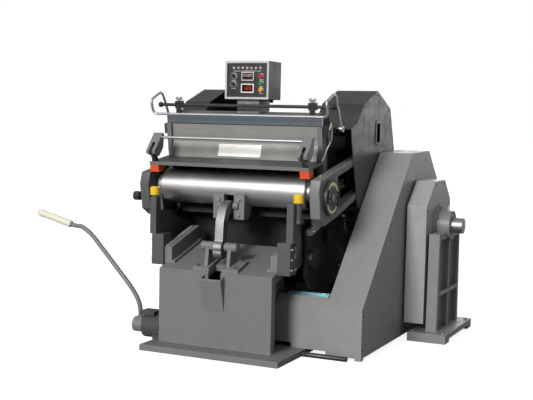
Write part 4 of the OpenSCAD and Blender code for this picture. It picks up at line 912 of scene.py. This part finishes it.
def fastener_spots():
    """Each field of fasteners: kind, head radius, finish, body, and (point, facing) for every one."""
    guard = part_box("belt_guard")
    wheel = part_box("flywheel_cover")
    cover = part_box("gear_cover_right")
    far_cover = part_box("gear_cover_left")
    guard_x, wheel_x, cover_x, far_x = (b / MM for b in (guard[1][0], wheel[1][0], cover[1][0],
                                                         far_cover[0][0]))
    guard_rim = [(-330, 60), (-330, 262), (60, 60), (480, 60), (880, 60), (1095, 60), (1095, 500),
                 (1095, 960)]
    wheel_rim = [(425, 130), (425, 480), (425, 830), (930, 130), (930, 480), (930, 850), (600, 985),
                 (800, 985)]
    cover_rim = [(845, 830), (600, 828), (300, 828), (870, 1000), (705, 1458), (463, 1560), (225, 1480)]
    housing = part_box("bearing_housing")
    wheel_y = (housing[0][1] + housing[1][1]) / 2 / MM
    wheel_z = (housing[0][2] + housing[1][2]) / 2 / MM
    end = housing[1][0] / MM
    barrel_ring = [(wheel_y + 78 * math.cos(a), wheel_z + 78 * math.sin(a))
                   for a in (math.radians(60 * k) for k in range(6))]
    return {
        "guard_screws": ("socket", 5, "black_metal", "base",
                         [((guard_x, y, z), RIGHT) for y, z in guard_rim]),
        "wheel_cover_screws": ("socket", 5, "black_metal", "base",
                               [((wheel_x, y, z), RIGHT) for y, z in wheel_rim]),
        "cover_screws": ("socket", 5, "black_metal", "base",
                         [((cover_x, y, z), RIGHT) for y, z in cover_rim] +
                         [((far_x, y, z), LEFT) for y, z in cover_rim]),
        "barrel_screws": ("socket", 5, "ground_steel", "base",
                          [((end, y, z), RIGHT) for y, z in barrel_ring]),
        "way_bolts": ("hex", 10, "cast_steel", "base",
                      [((side * 530, *way_point(0, 60, -194)[1:]), (side, 0, 0)) for side in (-1, 1)]),
        "lug_bolts": ("hex", 15, "cast_steel", "base",
                      [((side * 520.5, y, 984), (side, 0, 0)) for side in (-1, 1) for y in (-5, 88)]),
        "hub_bolts": ("hex", 13, "cast_steel", "base",
                      [((side * 117, -441, 604), (side, 0, 0)) for side in (-1, 1)]),
        "bracket_bolts": ("hex", 12, "cast_steel", "platen",
                          [((side * 66, -445.6, z), FORWARD) for side in (-1, 1) for z in (815, 905)]),
    }


EYE = (2.7916, -5.8587, 1.4)  # the camera's place, in metres
LENS = 68.905
EYE_TURN, EYE_DIP, EYE_ROLL = 25.15, 4.63, 1.24  # degrees


def distant_light(name, strength, spread, way):
    """A sun lamp that shines one way, its shadows softened by spread degrees."""
    sun = bpy.data.lights.new(name, "SUN")
    sun.energy = strength
    sun.angle = math.radians(spread)
    lamp = bpy.data.objects.new(name, sun)
    lamp.rotation_mode = "QUATERNION"
    lamp.rotation_quaternion = Vector(way).to_track_quat("-Z", "Y")
    bpy.context.scene.collection.objects.link(lamp)


class DIECUT_OT_stage(bpy.types.Operator):
    """Set the floor, the lights and the camera"""
    bl_idname = "diecut.stage"
    bl_label = "Stage"

    def execute(self, context):
        scene = context.scene
        stage = scene.diecut_stage
        mesh = bpy.data.meshes.new("floor")
        far = 60.0
        mesh.from_pydata([(-far, -far, 0), (far, -far, 0), (far, far, 0), (-far, far, 0)], [], [(0, 1, 2, 3)])
        floor = bpy.data.objects.new("floor", mesh)
        floor.location.z = -0.2 * MM
        scene.collection.objects.link(floor)
        pale = Finish("Pale floor", (0.3, 0.3, 0.3), 0.9)
        path = pale.add("ShaderNodeLightPath")
        pale.set("Emission Color", (1.0, 1.0, 1.0, 1.0))
        pale.join(pale.times(path.outputs["Is Camera Ray"], 0.84), pale.shader.inputs["Emission Strength"])
        floor.data.materials.append(pale.mat)

        world = bpy.data.worlds.new("studio")
        scene.world = world
        world.use_nodes = True
        tree = world.node_tree
        background = tree.nodes["Background"]
        path = tree.nodes.new("ShaderNodeLightPath")
        way = tree.nodes.new("ShaderNodeTexCoord")
        height = tree.nodes.new("ShaderNodeSeparateXYZ")
        sky = tree.nodes.new("ShaderNodeMapRange")
        for key, value in (("From Min", -0.1), ("From Max", 0.9), ("To Min", 0.3 * stage.sky),
                           ("To Max", 2.2 * stage.sky)):
            sky.inputs[key].default_value = value
        level = tree.nodes.new("ShaderNodeMapRange")
        level.inputs["To Max"].default_value = 1.0
        tree.links.new(way.outputs["Generated"], height.inputs[0])
        tree.links.new(height.outputs["Z"], sky.inputs["Value"])
        tree.links.new(path.outputs["Is Camera Ray"], level.inputs["Value"])
        tree.links.new(sky.outputs["Result"], level.inputs["To Min"])
        tree.links.new(level.outputs["Result"], background.inputs["Strength"])
        background.inputs["Color"].default_value = (1, 1, 1, 1)

        distant_light("key", stage.sun, 18, (0.1, 0.9, -0.38))
        distant_light("back fill", stage.back, 40, (0, -1, -0.05))

        camera = bpy.data.cameras.new("camera")
        camera.lens = LENS
        camera.sensor_width = 36
        camera.clip_end = 200
        eye = bpy.data.objects.new("camera", camera)
        turn, dip, roll = (math.radians(a) for a in (EYE_TURN, EYE_DIP, EYE_ROLL))
        away = Vector((math.sin(turn) * math.cos(dip), -math.cos(turn) * math.cos(dip), math.sin(dip)))
        side = (-away).cross(Vector(UPWARD)).normalized()
        up = side.cross(-away)
        side, up = (side * math.cos(roll) + up * math.sin(roll), up * math.cos(roll) - side * math.sin(roll))
        rest = Matrix((side, up, away)).transposed().to_4x4()
        rest.translation = Vector(EYE)
        eye.matrix_world = rest
        scene.collection.objects.link(eye)
        scene.camera = eye
        scene.view_settings.view_transform = "Standard"
        return {"FINISHED"}


class DIECUT_PT_panel(bpy.types.Panel):
    """A button for each step of the dressing"""
    bl_label = "Die Cutter"
    bl_space_type = "VIEW_3D"
    bl_region_type = "UI"
    bl_category = "Die Cutter"

    def draw(self, context):
        for step in STEPS:
            self.layout.operator(step.bl_idname)


STEPS = (DIECUT_OT_finishes, DIECUT_OT_castings, DIECUT_OT_control_box, DIECUT_OT_platen, DIECUT_OT_dial,
         DIECUT_OT_running_gear, DIECUT_OT_fasteners, DIECUT_OT_stage)
CLASSES = (LookSettings, StageSettings, *STEPS, DIECUT_PT_panel)


def register():
    for kind in CLASSES:
        bpy.utils.register_class(kind)
    bpy.types.Scene.diecut_look = bpy.props.PointerProperty(type=LookSettings)
    bpy.types.Scene.diecut_stage = bpy.props.PointerProperty(type=StageSettings)


def unregister():
    del bpy.types.Scene.diecut_look
    del bpy.types.Scene.diecut_stage
    for kind in reversed(CLASSES):
        bpy.utils.unregister_class(kind)


def main():
    """Runs every step in order."""
    register()
    for step in STEPS:
        group, name = step.bl_idname.split(".")
        getattr(getattr(bpy.ops, group), name)()


if __name__ == "__main__":
    main()
